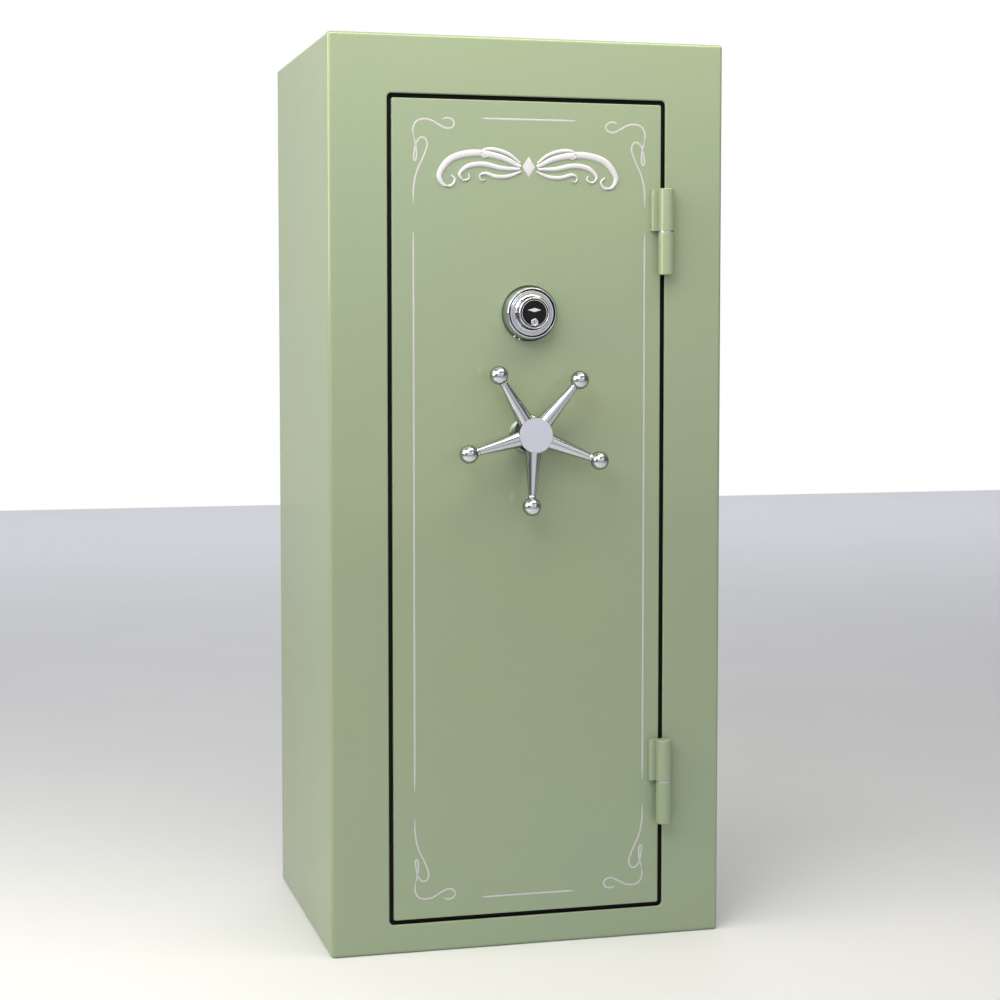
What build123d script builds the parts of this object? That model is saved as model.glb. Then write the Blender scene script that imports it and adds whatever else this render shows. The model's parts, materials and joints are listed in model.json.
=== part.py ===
"""Upright gun safe: outside-hinged door, five-spoke handle, combination dial and rack-driven bolts.

Millimetres, +Z up. The origin is on the floor, at the centre of the four anchor holes, which is also
the centre of the steel body. The door faces -Y and hangs on the hinges at +X. Everything is drawn with
the door shut and the locking bolts drawn back, which is how the door can swing.
"""
from build123d import *
import math
import os

# ---- Body -----------------------------------------------------------------
WIDTH = 680.0
HEIGHT = 1524.0
DEPTH = 524.0
SHEET = 3.0
BEND_RADIUS = 6.0
FLOOR_PLATE = SHEET
FLOOR_FLANGE = 20.0
FIREBOARD = 13.0
LINER = 4.0

# ---- Door opening ---------------------------------------------------------
FRAME_LEFT = 98.5
FRAME_RIGHT = 102.5
FRAME_TOP = 97.0
FRAME_BOTTOM = 49.0
OPENING_RADIUS = 8.0
OPENING_EDGE_ROUND = 2.5
DOOR_GAP = 7.5
JAMB_WIDTH = 12.0
JAMB_CLEARANCE = 2.3
LIP_OVERLAP = 6.0
LIP_THICKNESS = 3.0
SEAL_THICKNESS = 1.8
SEAL_WIDTH = 7.0
SEAL_INSET = 1.0
SEAL_PLAY = 0.2

# ---- Door -----------------------------------------------------------------
DOOR_PLATE = 6.0
DOOR_CORNER = 3.0
DOOR_EDGE_ROUND = 1.8
PAN_INSET = 18.0
PAN_ROOM = 29.3
PAN_SHEET = 3.0
PAN_FLANGE = 20.0
DOOR_FIREBOARD = 25.0
HARD_PLATE = 6.0
HARD_PLATE_SIZE = 120.0
LOCKWORK_PLATE = 3.0
TRIM_PANEL = 6.0
TRIM_SCREW_RADIUS = 3.0
TRIM_SCREW_ROWS = 5
TRIM_SCREW_END = 40.0

# ---- Hinges ---------------------------------------------------------------
HINGE_PROUD = 14.0
KNUCKLE_RADIUS = 13.5
KNUCKLE_LENGTH = 72.5
KNUCKLE_ROUND = 2.0
HINGE_INSET = 213.0
HINGE_OFFSET = 1.5
HINGE_PIN_RADIUS = 7.0
HINGE_PIN_REACH = 58.0
WASHER_THICKNESS = 2.6
WASHER_INSET = 0.6
LEAF_WIDTH = 18.5
LEAF_THICKNESS = 10.0
LEAF_ROUND = 4.0
RUNNING_FIT = 0.05
END_PLAY = 0.2

# ---- Locking bolts --------------------------------------------------------
BOLT_RADIUS = 12.7
BOLT_HOLD = 26.5
BOLT_COUNT = 5
BOLT_END_INSET = 137.5
BOLT_BEHIND_PLATE = 11.3
BOLT_REST_PROUD = 2.0
BOLT_CHAMFER = 1.5
BUSHING_WALL = 1.8
BUSHING_LENGTH = 9.0
BUSHING_PROUD = 1.0
BOLT_FIT = 0.08
BOLT_BAR_WEB = 6.0
BOLT_BAR_FLANGE = 29.0
BOLT_BAR_SHEET = 3.5
BOLT_BAR_PLAY = 1.0
BOLT_BAR_OVERHANG = 26.0
NUT_RADIUS = 9.0
NUT_HEIGHT = 7.0
FIXED_BOLT_REACH = 12.0
FIXED_BOLT_INSIDE = 28.0
FIXED_FLANGE_RADIUS = 14.5
FIXED_FLANGE = 5.0

# ---- Handle and drive -----------------------------------------------------
HANDLE_ABOVE_MIDDLE = 129.0
SPOKE_COUNT = 5
SPOKE_PHASE = -93.5
HUB_RADIUS = 29.0
HUB_FRONT = 50.0
HUB_BACK = 6.5
HUB_ROUND = 1.5
BALL_RADIUS = 15.0
BALL_CIRCLE = 118.0
BALL_FRONT = 48.0
SPOKE_ROOT_FRONT = 36.0
SPOKE_ROOT_RADIUS = 12.5
SPOKE_TIP_RADIUS = 5.6
SPOKE_SOCKET = 5.0
SPOKE_INTO_BALL = 2.0
ROSETTE_RADIUS = 33.0
ROSETTE_THICKNESS = 6.0
SHAFT_RADIUS = 8.0
SHAFT_BUSHING_WALL = 4.0
GEAR_MODULE = 2.4
GEAR_TEETH = 20
PRESSURE_ANGLE = 20.0
ADDENDUM = 0.9
DEDENDUM = 1.25
BACKLASH = 0.35
GEAR_GAP = 4.0
GEAR_THICKNESS = 10.0
RACK_HEIGHT = 18.0
RACK_SPARE = 11.5
RACK_TEETH = 10
RACK_FIRST_TOOTH = -3
HANDLE_TURN = 80.0
GUIDE_FROM_BAR = 31.0
GUIDE_FROM_TEETH = 35.5
GUIDE_WIDTH = 8.0
GUIDE_WALL = 7.0
GUIDE_CLEARANCE = 0.4
SHAFT_NUT_RADIUS = 12.0
SHAFT_NUT_HEIGHT = 9.0

# ---- Dial and lock --------------------------------------------------------
DIAL_ABOVE_HANDLE = 202.0
DIAL_RING_RADIUS = 46.5
DIAL_RING_FRONT_RADIUS = 42.0
DIAL_RING_BORE = 39.5
DIAL_RING_HEIGHT = 24.0
DIAL_RING_BACK = 3.0
DIAL_RADIUS = 38.0
DIAL_FRONT = 23.0
KNOB_RADIUS = 29.0
KNOB_FRONT_RADIUS = 26.0
KNOB_FRONT = 38.0
FACE_RADIUS = 23.5
FACE_DEPTH = 2.0
FACE_THICKNESS = 1.2
KEY_PLUG_RADIUS = 6.5
KEY_PLUG_DROP = 15.5
KEY_PLUG_PROUD = 1.5
KEY_PLUG_DEPTH = 12.0
SPINDLE_RADIUS = 4.0
SPINDLE_TUBE_WALL = 2.0
LOCK_WIDTH = 61.0
LOCK_BELOW = 38.0
LOCK_ABOVE = 45.0
LOCK_DEPTH = 28.0
LOCK_WALL = 3.0
LOCK_POST = 9.0
LOCK_COVER = 3.0
LOCK_SCREW_RADIUS = 2.5
LOCK_SCREW_LENGTH = 12.0
LOCK_SCREW_HEAD = 2.0
WHEEL_RADIUS = 19.0
WHEEL_THICKNESS = 3.0
WHEEL_PITCH = 5.0
WHEEL_COUNT = 3
CAM_RADIUS = 17.0
GATE_DEPTH = 5.0
WHEEL_GATE = 4.0
CAM_GATE = 6.0
LOCK_BOLT_WIDTH = 16.0
LOCK_BOLT_THICKNESS = 8.0
LOCK_BOLT_LENGTH = 17.0
LOCK_BOLT_THROW = 9.0
LOCK_BOLT_FIT = 0.1
BLOCK_PLATE = 5.0
BLOCK_PLATE_MARGIN = 10.0
BLOCK_PLATE_GAP = 3.0
NOTCH_CLEARANCE = 1.0

# ---- Interior fittings ----------------------------------------------------
BOARD = 16.0
SHELF_FRONT = 110.0
TOP_COMPARTMENT = 324.0
SIDE_BAY_WIDTH = 208.0
SIDE_SHELF_COUNT = 3
STANDARD_WIDTH = 16.0
STANDARD_THICKNESS = 2.0
STANDARD_INSET = 45.0
STANDARD_END = 40.0
SHELF_PLAY = 1.0
CLIP_REACH = 9.0
CLIP_HEIGHT = 6.0
REST_BELOW_SHELF = 260.0
REST_THICKNESS = 25.0
REST_DEPTH = 60.0
REST_NOTCH_RADIUS = 18.0
REST_NOTCHES = 6
STOCK_REST_THICKNESS = 24.0
STOCK_REST_DEPTH = 150.0
STOCK_WELL_DEPTH = 12.0
STOCK_WELL_RADIUS = 24.0

# ---- Anchors and emblem ---------------------------------------------------
ANCHOR_RADIUS = 7.0
ANCHOR_SPACING_X = 500.0
ANCHOR_SPACING_Y = 330.0
ANCHOR_CLEARANCE = 3.0
EMBLEM_BELOW_TOP = 108.0
EMBLEM_WIDTH = 300.0
EMBLEM_RISE = 2.5

# ---- Places worked out from the sizes above -------------------------------
FRONT = -DEPTH / 2
OPEN_LEFT = -WIDTH / 2 + FRAME_LEFT
OPEN_RIGHT = WIDTH / 2 - FRAME_RIGHT
OPEN_BOTTOM = FRAME_BOTTOM
OPEN_TOP = HEIGHT - FRAME_TOP
DOOR_LEFT = OPEN_LEFT + DOOR_GAP
DOOR_RIGHT = OPEN_RIGHT - DOOR_GAP
DOOR_BOTTOM = OPEN_BOTTOM + DOOR_GAP
DOOR_TOP = OPEN_TOP - DOOR_GAP
DOOR_X = (DOOR_LEFT + DOOR_RIGHT) / 2
DOOR_Z = (DOOR_BOTTOM + DOOR_TOP) / 2
HANDLE_HEIGHT = DOOR_Z + HANDLE_ABOVE_MIDDLE
DIAL_HEIGHT = HANDLE_HEIGHT + DIAL_ABOVE_HANDLE
EMBLEM_HEIGHT = DOOR_TOP - EMBLEM_BELOW_TOP
HINGE_X = DOOR_RIGHT + DOOR_GAP / 2 + HINGE_OFFSET
HINGE_JOINTS = (DOOR_BOTTOM + HINGE_INSET, DOOR_TOP - HINGE_INSET)
LOCKWORK_FRONT = DOOR_PLATE + DOOR_FIREBOARD
LOCKWORK_BACK = LOCKWORK_FRONT + LOCKWORK_PLATE
BOLT_BACK = LOCKWORK_BACK + BOLT_BEHIND_PLATE + BOLT_RADIUS
JAMB_BACK = BOLT_BACK - BOLT_RADIUS - JAMB_CLEARANCE
LIP_WIDTH = DOOR_GAP + LIP_OVERLAP
PAN_LEFT = DOOR_LEFT + PAN_INSET
PAN_RIGHT = DOOR_RIGHT - PAN_INSET
PAN_BOTTOM = DOOR_BOTTOM + PAN_INSET
PAN_TOP = DOOR_TOP - PAN_INSET
PAN_BACK = LOCKWORK_BACK + BOLT_RADIUS + PAN_ROOM
INNER_X = WIDTH / 2 - SHEET - FIREBOARD - LINER
INNER_BACK = DEPTH - SHEET - FIREBOARD - LINER
INNER_FLOOR = FLOOR_PLATE + FIREBOARD + LINER
INNER_TOP = HEIGHT - SHEET - FIREBOARD - LINER
TOP_SHELF_HEIGHT = HEIGHT - TOP_COMPARTMENT
SIDE_SHELF_PITCH = TOP_SHELF_HEIGHT / (SIDE_SHELF_COUNT + 1)
SIDE_SHELF_HEIGHTS = [SIDE_SHELF_PITCH * (i + 1) for i in range(SIDE_SHELF_COUNT)]
DIVIDER_LEFT = INNER_X - SIDE_BAY_WIDTH - BOARD
REST_HEIGHT = TOP_SHELF_HEIGHT - REST_BELOW_SHELF
PITCH_RADIUS = GEAR_MODULE * GEAR_TEETH / 2
TOOTH_PITCH = math.pi * GEAR_MODULE
BOLT_THROW = PITCH_RADIUS * math.radians(HANDLE_TURN)
BOLT_TIP = PAN_LEFT - BOLT_REST_PROUD
BOLT_BUTT = BOLT_TIP + BOLT_THROW + BOLT_HOLD
BOLT_SPACING = (DOOR_TOP - DOOR_BOTTOM - 2 * BOLT_END_INSET) / (BOLT_COUNT - 1)
BOLT_HEIGHTS = [DOOR_BOTTOM + BOLT_END_INSET + BOLT_SPACING * i for i in range(BOLT_COUNT)]
GEAR_FRONT = LOCKWORK_BACK + GEAR_GAP
GEAR_BACK = GEAR_FRONT + GEAR_THICKNESS
RACK_BOTTOM = HANDLE_HEIGHT + PITCH_RADIUS + DEDENDUM * GEAR_MODULE
RACK_TOP = RACK_BOTTOM + RACK_HEIGHT
LEFT_GUIDE = BOLT_BUTT + BOLT_BAR_FLANGE + GUIDE_FROM_BAR
RIGHT_GUIDE = DOOR_X + BOLT_THROW + GUIDE_FROM_TEETH
RACK_RIGHT = RIGHT_GUIDE + BOLT_THROW + RACK_SPARE
LOCK_BOTTOM = DIAL_HEIGHT - LOCK_BELOW
LOCK_TOP = DIAL_HEIGHT + LOCK_ABOVE
LOCK_BACK = LOCKWORK_BACK + LOCK_DEPTH
LOCK_BOLT_FRONT = GEAR_BACK + 0.5


def slab(x0, x1, y0, y1, z0, z1):
    """A box between two corners, with y measured back from the safe's front face."""
    box = Box(x1 - x0, y1 - y0, z1 - z0)
    return Pos((x0 + x1) / 2, FRONT + (y0 + y1) / 2, (z0 + z1) / 2) * box


def rod_y(x, z, radius, y0, y1, end_radius=None):
    """A round bar or cone along Y, from depth y0 to depth y1."""
    place = Pos(x, FRONT + (y0 + y1) / 2, z) * Rot(-90, 0, 0)
    if end_radius is None:
        return place * Cylinder(radius, y1 - y0)
    return place * Cone(radius, end_radius, y1 - y0)


def rod_x(x0, x1, y, z, radius):
    """A round bar along X."""
    return Pos((x0 + x1) / 2, FRONT + y, z) * Rot(0, 90, 0) * Cylinder(radius, x1 - x0)


def rod_z(x, y, z0, z1, radius):
    """A round bar along Z."""
    return Pos(x, FRONT + y, (z0 + z1) / 2) * Cylinder(radius, z1 - z0)


def rounded_slab(x0, x1, y0, y1, z0, z1, radius):
    """A slab with its four corners rounded, seen from the front."""
    body = slab(x0, x1, y0, y1, z0, z1)
    return fillet(body.edges().filter_by(Axis.Y), radius)


def joined(pieces):
    """One solid from overlapping pieces."""
    whole = pieces[0]
    for piece in pieces[1:]:
        whole = whole + piece
    return whole


def save(name, *pieces):
    """Writes one node; several pieces stay separate solids."""
    solids = [solid for piece in pieces for solid in piece.solids()]
    shape = solids[0] if len(solids) == 1 else Compound(children=solids)
    export_step(shape, os.path.join("parts", name + ".step"))


# ---- Body -----------------------------------------------------------------
def body_wrap():
    """Both sides, the top, the front frame and a narrow floor flange, bent from one thickness of sheet."""
    outer = slab(-WIDTH / 2, WIDTH / 2, 0, DEPTH, 0, HEIGHT)
    front = outer.edges().filter_by(Axis.Z).sort_by(Axis.Y)[:2]
    top = outer.edges().group_by(Axis.Z)[-1].sort_by(Axis.Y)[:3]
    bottom = outer.edges().group_by(Axis.Z)[0].sort_by(Axis.Y)[:3]
    outer = fillet(front + top + bottom, BEND_RADIUS)
    inside = WIDTH / 2 - SHEET
    hollow = slab(-inside, inside, SHEET, DEPTH + SHEET, SHEET, HEIGHT - SHEET)
    hollow = fillet(hollow.edges().filter_by(Axis.Z).sort_by(Axis.Y)[:2], BEND_RADIUS - SHEET)
    doorway = rounded_slab(OPEN_LEFT, OPEN_RIGHT, -SHEET, 2 * SHEET, OPEN_BOTTOM, OPEN_TOP, OPENING_RADIUS)
    flange = WIDTH / 2 - FLOOR_FLANGE
    underside = slab(-flange, flange, FLOOR_FLANGE, DEPTH, -SHEET, 2 * SHEET)
    back_strip = slab(-inside, inside, DEPTH - SHEET, DEPTH + SHEET, -SHEET, 2 * SHEET)
    shell = outer - hollow - doorway - underside - back_strip
    face = shell.faces().sort_by(Axis.Y)[0]
    return fillet(face.inner_wires()[0].edges(), OPENING_EDGE_ROUND)


def anchor_places():
    """The four anchor holes, as (x, depth from the front face)."""
    across, along = ANCHOR_SPACING_X / 2, ANCHOR_SPACING_Y / 2
    return [(sx * across, DEPTH / 2 + sy * along) for sx in (-1, 1) for sy in (-1, 1)]


def drilled_floor(z0, z1, x_edge, y0, y1, radius):
    """One floor layer with the four anchor holes through it."""
    plate = slab(-x_edge, x_edge, y0, y1, z0, z1)
    for x, y in anchor_places():
        plate = plate - rod_z(x, y, z0 - 1, z1 + 1, radius)
    return plate


def save_body():
    inside = WIDTH / 2 - SHEET
    board = inside - FIREBOARD
    back = DEPTH - SHEET
    save("body_wrap", body_wrap())
    save("back_panel", slab(-inside, inside, back, DEPTH, 0, HEIGHT - SHEET))
    flange = WIDTH / 2 - FLOOR_FLANGE
    save("floor_plate", drilled_floor(0, FLOOR_PLATE, flange, FLOOR_FLANGE, back, ANCHOR_RADIUS))

    wide = ANCHOR_RADIUS + ANCHOR_CLEARANCE
    roof = HEIGHT - SHEET
    sides = [slab(-inside, -board, BEND_RADIUS, back, FLOOR_PLATE, roof)]
    sides.append(slab(board, inside, BEND_RADIUS, back, FLOOR_PLATE, roof))
    save("side_fireboards", *sides)
    save("back_fireboard", slab(-board, board, back - FIREBOARD, back, FLOOR_PLATE, roof))
    fire_back = back - FIREBOARD
    save("top_fireboard", slab(-board, board, BEND_RADIUS, fire_back, roof - FIREBOARD, roof))
    floor_top = FLOOR_PLATE + FIREBOARD
    save("floor_fireboard", drilled_floor(FLOOR_PLATE, floor_top, board, BEND_RADIUS, fire_back, wide))

    liner_front = JAMB_BACK
    ceiling = roof - FIREBOARD
    sides = [slab(-board, -INNER_X, liner_front, fire_back, floor_top, ceiling)]
    sides.append(slab(INNER_X, board, liner_front, fire_back, floor_top, ceiling))
    save("side_liners", *sides)
    save("back_liner", slab(-INNER_X, INNER_X, INNER_BACK, fire_back, floor_top, ceiling))
    save("top_liner", slab(-INNER_X, INNER_X, liner_front, INNER_BACK, INNER_TOP, ceiling))
    save("floor_liner", drilled_floor(floor_top, INNER_FLOOR, INNER_X, liner_front, INNER_BACK, wide))


def door_jamb():
    """A heavy ring behind the frame that the bolts lock behind, with the lip that the door shuts against."""
    w = JAMB_WIDTH
    bar = slab(OPEN_LEFT - w, OPEN_RIGHT + w, SHEET, JAMB_BACK, OPEN_BOTTOM - w, OPEN_TOP + w)
    bar = bar - rounded_slab(OPEN_LEFT, OPEN_RIGHT, 0, JAMB_BACK + 1, OPEN_BOTTOM, OPEN_TOP, OPENING_RADIUS)
    front = DOOR_PLATE + SEAL_THICKNESS + SEAL_PLAY
    back = front + LIP_THICKNESS
    lip = slab(OPEN_LEFT - 1, OPEN_RIGHT + 1, front, back, OPEN_BOTTOM - 1, OPEN_TOP + 1)
    w = LIP_WIDTH
    lip = lip - slab(OPEN_LEFT + w, OPEN_RIGHT - w, 0, JAMB_BACK, OPEN_BOTTOM + w, OPEN_TOP - w)
    return bar + lip


# ---- Hinges ---------------------------------------------------------------
def hinge_pieces():
    """Four lists: body knuckles, door knuckles with leaves, pins and washers, one of each per hinge."""
    body, door, pins, washers = [], [], [], []
    y = -HINGE_PROUD
    half_washer = WASHER_THICKNESS / 2
    for joint in HINGE_JOINTS:
        low = joint - KNUCKLE_LENGTH
        high = joint + KNUCKLE_LENGTH
        seat = joint - half_washer
        barrel = rod_z(HINGE_X, y, low, seat, KNUCKLE_RADIUS)
        barrel = fillet(barrel.edges().group_by(Axis.Z)[0], KNUCKLE_ROUND)
        foot_left = OPEN_RIGHT + OPENING_EDGE_ROUND + 0.5
        foot = slab(foot_left, HINGE_X + KNUCKLE_RADIUS - 0.5, 2 - HINGE_PROUD, 0, low + 2, seat)
        body.append(barrel + foot - rod_z(HINGE_X, y, low + 8, high, HINGE_PIN_RADIUS))

        rise = joint + half_washer + END_PLAY
        barrel = rod_z(HINGE_X, y, rise, high, KNUCKLE_RADIUS)
        barrel = fillet(barrel.edges().group_by(Axis.Z)[-1], KNUCKLE_ROUND)
        leaf_left = DOOR_RIGHT - LEAF_WIDTH
        leaf = slab(leaf_left, DOOR_RIGHT - 0.5, -LEAF_THICKNESS, 0, rise, high - 1)
        front_left = leaf.edges().filter_by(Axis.Z).sort_by(Axis.Y)[:2].sort_by(Axis.X)[0]
        leaf = fillet(front_left, LEAF_ROUND)
        bore = rod_z(HINGE_X, y, low, joint + HINGE_PIN_REACH + 1, HINGE_PIN_RADIUS + RUNNING_FIT)
        door.append(barrel + leaf - bore)

        pins.append(rod_z(HINGE_X, y, low + 8, joint + HINGE_PIN_REACH, HINGE_PIN_RADIUS))
        washer = rod_z(HINGE_X, y, seat, joint + half_washer, KNUCKLE_RADIUS - WASHER_INSET)
        washers.append(washer - rod_z(HINGE_X, y, seat - 1, joint + 2, HINGE_PIN_RADIUS))
    return body, door, pins, washers


def save_hinges():
    body, door, pins, washers = hinge_pieces()
    save("body_knuckles", *body)
    save("door_knuckles", *door)
    save("hinge_pins", *pins)
    save("hinge_washers", *washers)


# ---- Door shell -----------------------------------------------------------
def bolt_holes(radius):
    """Cutters for the locking bolts, through the left wall of the pan."""
    return [rod_x(PAN_LEFT - 2, PAN_LEFT + 6, BOLT_BACK, z, radius) for z in BOLT_HEIGHTS]


def fixed_holes(radius):
    """Cutters for the fixed bolts, through the right wall of the pan."""
    return [rod_x(PAN_RIGHT - 6, PAN_RIGHT + 2, BOLT_BACK, z, radius) for z in BOLT_HEIGHTS]


def door_plate():
    plate = rounded_slab(DOOR_LEFT, DOOR_RIGHT, 0, DOOR_PLATE, DOOR_BOTTOM, DOOR_TOP, DOOR_CORNER)
    front = plate.faces().sort_by(Axis.Y)[0]
    plate = fillet(front.edges(), DOOR_EDGE_ROUND)
    plate = plate - rod_y(DOOR_X, HANDLE_HEIGHT, SHAFT_RADIUS + SHAFT_BUSHING_WALL, -1, DOOR_PLATE + 1)
    return plate - rod_y(DOOR_X, DIAL_HEIGHT, SPINDLE_RADIUS + SPINDLE_TUBE_WALL, -1, DOOR_PLATE + 1)


def door_pan():
    """The sheet-steel tray behind the door plate, with a return flange that carries the trim panel."""
    ring = slab(PAN_LEFT, PAN_RIGHT, DOOR_PLATE, PAN_BACK, PAN_BOTTOM, PAN_TOP)
    t = PAN_SHEET
    ring = ring - slab(PAN_LEFT + t, PAN_RIGHT - t, 0, PAN_BACK - t, PAN_BOTTOM + t, PAN_TOP - t)
    f = PAN_FLANGE
    ring = ring - slab(PAN_LEFT + f, PAN_RIGHT - f, 0, PAN_BACK + t, PAN_BOTTOM + f, PAN_TOP - f)
    for hole in bolt_holes(BOLT_RADIUS + BOLT_FIT + BUSHING_WALL) + fixed_holes(BOLT_RADIUS):
        ring = ring - hole
    for screw in trim_screw_shanks():
        ring = ring - screw
    return ring


def trim_screw_places():
    """The two columns of trim screws, as (x, z)."""
    inset = PAN_FLANGE / 2 + 1
    low = PAN_BOTTOM + TRIM_SCREW_END
    step = (PAN_TOP - PAN_BOTTOM - 2 * TRIM_SCREW_END) / (TRIM_SCREW_ROWS - 1)
    columns = (PAN_LEFT + inset, PAN_RIGHT - inset)
    return [(x, low + step * i) for x in columns for i in range(TRIM_SCREW_ROWS)]


def trim_screw_shanks():
    return [rod_y(x, z, TRIM_SCREW_RADIUS, PAN_BACK - PAN_SHEET, PAN_BACK + TRIM_PANEL)
            for x, z in trim_screw_places()]


def save_door_shell():
    save("door_plate", door_plate())
    save("door_pan", door_pan())

    t = PAN_SHEET
    left, right = PAN_LEFT + t, PAN_RIGHT - t
    low, high = PAN_BOTTOM + t, PAN_TOP - t
    half = HARD_PLATE_SIZE / 2
    hard = slab(DOOR_X - half, DOOR_X + half, LOCKWORK_FRONT - HARD_PLATE, LOCKWORK_FRONT,
                DIAL_HEIGHT - half, DIAL_HEIGHT + half)
    board = slab(left, right, DOOR_PLATE, LOCKWORK_FRONT, low, high) - hard
    plate = slab(left, right, LOCKWORK_FRONT, LOCKWORK_BACK, low, high)
    shaft = rod_y(DOOR_X, HANDLE_HEIGHT, SHAFT_RADIUS + SHAFT_BUSHING_WALL, 0, PAN_BACK)
    spindle = rod_y(DOOR_X, DIAL_HEIGHT, SPINDLE_RADIUS + SPINDLE_TUBE_WALL, 0, PAN_BACK)
    save("door_fireboard", board - shaft - spindle)
    save("hard_plate", hard - spindle)
    save("lockwork_plate", plate - shaft - spindle)

    panel = slab(PAN_LEFT, PAN_RIGHT, PAN_BACK, PAN_BACK + TRIM_PANEL, PAN_BOTTOM, PAN_TOP)
    screws = []
    for (x, z), shank in zip(trim_screw_places(), trim_screw_shanks()):
        panel = panel - shank
        head = rod_y(x, z, 2 * TRIM_SCREW_RADIUS, PAN_BACK + TRIM_PANEL, PAN_BACK + TRIM_PANEL + 2)
        screws.append(shank + fillet(head.edges().sort_by(Axis.Y)[-1], 1.5))
    save("door_trim_panel", panel)
    save("trim_screws", *screws)

    edge = SEAL_INSET
    seal = slab(DOOR_LEFT + edge, DOOR_RIGHT - edge, DOOR_PLATE, DOOR_PLATE + SEAL_THICKNESS,
                DOOR_BOTTOM + edge, DOOR_TOP - edge)
    edge = SEAL_INSET + SEAL_WIDTH
    seal = seal - slab(DOOR_LEFT + edge, DOOR_RIGHT - edge, 0, PAN_BACK, DOOR_BOTTOM + edge, DOOR_TOP - edge)
    save("door_seal", seal)


# ---- Locking bolts --------------------------------------------------------
def save_bolts():
    bolts, bushings, nuts, fixed = [], [], [], []
    for z in BOLT_HEIGHTS:
        bolt = rod_x(BOLT_TIP, BOLT_BUTT, BOLT_BACK, z, BOLT_RADIUS)
        bolts.append(chamfer(bolt.edges().sort_by(Axis.X)[0], BOLT_CHAMFER))
        outside = PAN_LEFT - BUSHING_PROUD
        inside = outside + BUSHING_LENGTH
        bushing = rod_x(outside, inside, BOLT_BACK, z, BOLT_RADIUS + BOLT_FIT + BUSHING_WALL)
        bushings.append(bushing - rod_x(outside - 1, inside + 1, BOLT_BACK, z, BOLT_RADIUS + BOLT_FIT))
        seat = BOLT_BUTT + BOLT_BAR_WEB
        hexagon = Pos(seat + NUT_HEIGHT / 2, FRONT + BOLT_BACK, z) * Rot(0, 90, 0)
        nuts.append(hexagon * extrude(RegularPolygon(NUT_RADIUS, 6), NUT_HEIGHT / 2, both=True))
        bar = rod_x(PAN_RIGHT - FIXED_BOLT_INSIDE, OPEN_RIGHT + FIXED_BOLT_REACH, BOLT_BACK, z, BOLT_RADIUS)
        bar = chamfer(bar.edges().sort_by(Axis.X)[-1], BOLT_CHAMFER)
        inner_face = PAN_RIGHT - PAN_SHEET
        fixed.append(bar + rod_x(inner_face - FIXED_FLANGE, inner_face, BOLT_BACK, z, FIXED_FLANGE_RADIUS))
    save("locking_bolts", *bolts)
    save("bolt_bushings", *bushings)
    save("bolt_nuts", *nuts)
    save("fixed_bolts", *fixed)

    low = BOLT_HEIGHTS[0] - BOLT_BAR_OVERHANG
    high = BOLT_HEIGHTS[-1] + BOLT_BAR_OVERHANG
    flange_front = BOLT_BACK + NUT_RADIUS + BOLT_BAR_PLAY
    flange_back = flange_front + BOLT_BAR_SHEET
    web = slab(BOLT_BUTT, BOLT_BUTT + BOLT_BAR_WEB, GEAR_FRONT, flange_back, low, high)
    flange = slab(BOLT_BUTT, BOLT_BUTT + BOLT_BAR_FLANGE, flange_front, flange_back, low, high)
    save("bolt_bar", web + flange)


# ---- Rack and gear --------------------------------------------------------
def involute_point(radius, half_base_angle, side):
    """A point of a tooth flank at the given radius, for a tooth that points along +X."""
    base = PITCH_RADIUS * math.cos(math.radians(PRESSURE_ANGLE))
    roll = math.sqrt(max((radius / base) ** 2 - 1, 0))
    angle = side * (half_base_angle - (roll - math.atan(roll)))
    return (radius * math.cos(angle), radius * math.sin(angle))


def gear_tooth():
    """One involute tooth pointing along +X, reaching inside the root circle."""
    base = PITCH_RADIUS * math.cos(math.radians(PRESSURE_ANGLE))
    tip = PITCH_RADIUS + ADDENDUM * GEAR_MODULE
    root = PITCH_RADIUS - DEDENDUM * GEAR_MODULE - 1
    pressure = math.radians(PRESSURE_ANGLE)
    half_pitch_angle = (TOOTH_PITCH / 2 - BACKLASH) / 2 / PITCH_RADIUS
    half_base_angle = half_pitch_angle + math.tan(pressure) - pressure
    radii = [base + (tip - base) * i / 4 for i in range(5)]
    upper = [involute_point(r, half_base_angle, 1) for r in radii]
    lower = [involute_point(r, half_base_angle, -1) for r in reversed(radii)]
    foot_up = (root * math.cos(half_base_angle), root * math.sin(half_base_angle))
    foot_down = (foot_up[0], -foot_up[1])
    outline = [Line(foot_down, foot_up), Line(foot_up, upper[0]), Spline(*upper)]
    outline += [Line(upper[-1], lower[0]), Spline(*lower), Line(lower[-1], foot_down)]
    return make_face(outline)


def drive_gear():
    """The gear on the handle shaft, with a tooth space straight up where the rack's middle tooth sits."""
    blank = Circle(PITCH_RADIUS - DEDENDUM * GEAR_MODULE)
    tooth = gear_tooth()
    step = 360 / GEAR_TEETH
    for i in range(GEAR_TEETH):
        blank = blank + Rot(0, 0, 90 + step * (i + 0.5)) * tooth
    solid = extrude(blank, GEAR_THICKNESS)
    place = Pos(DOOR_X, FRONT + GEAR_BACK, HANDLE_HEIGHT) * Rot(90, 0, 0)
    return place * solid - rod_y(DOOR_X, HANDLE_HEIGHT, SHAFT_RADIUS, GEAR_FRONT - 1, GEAR_BACK + 1)


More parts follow.
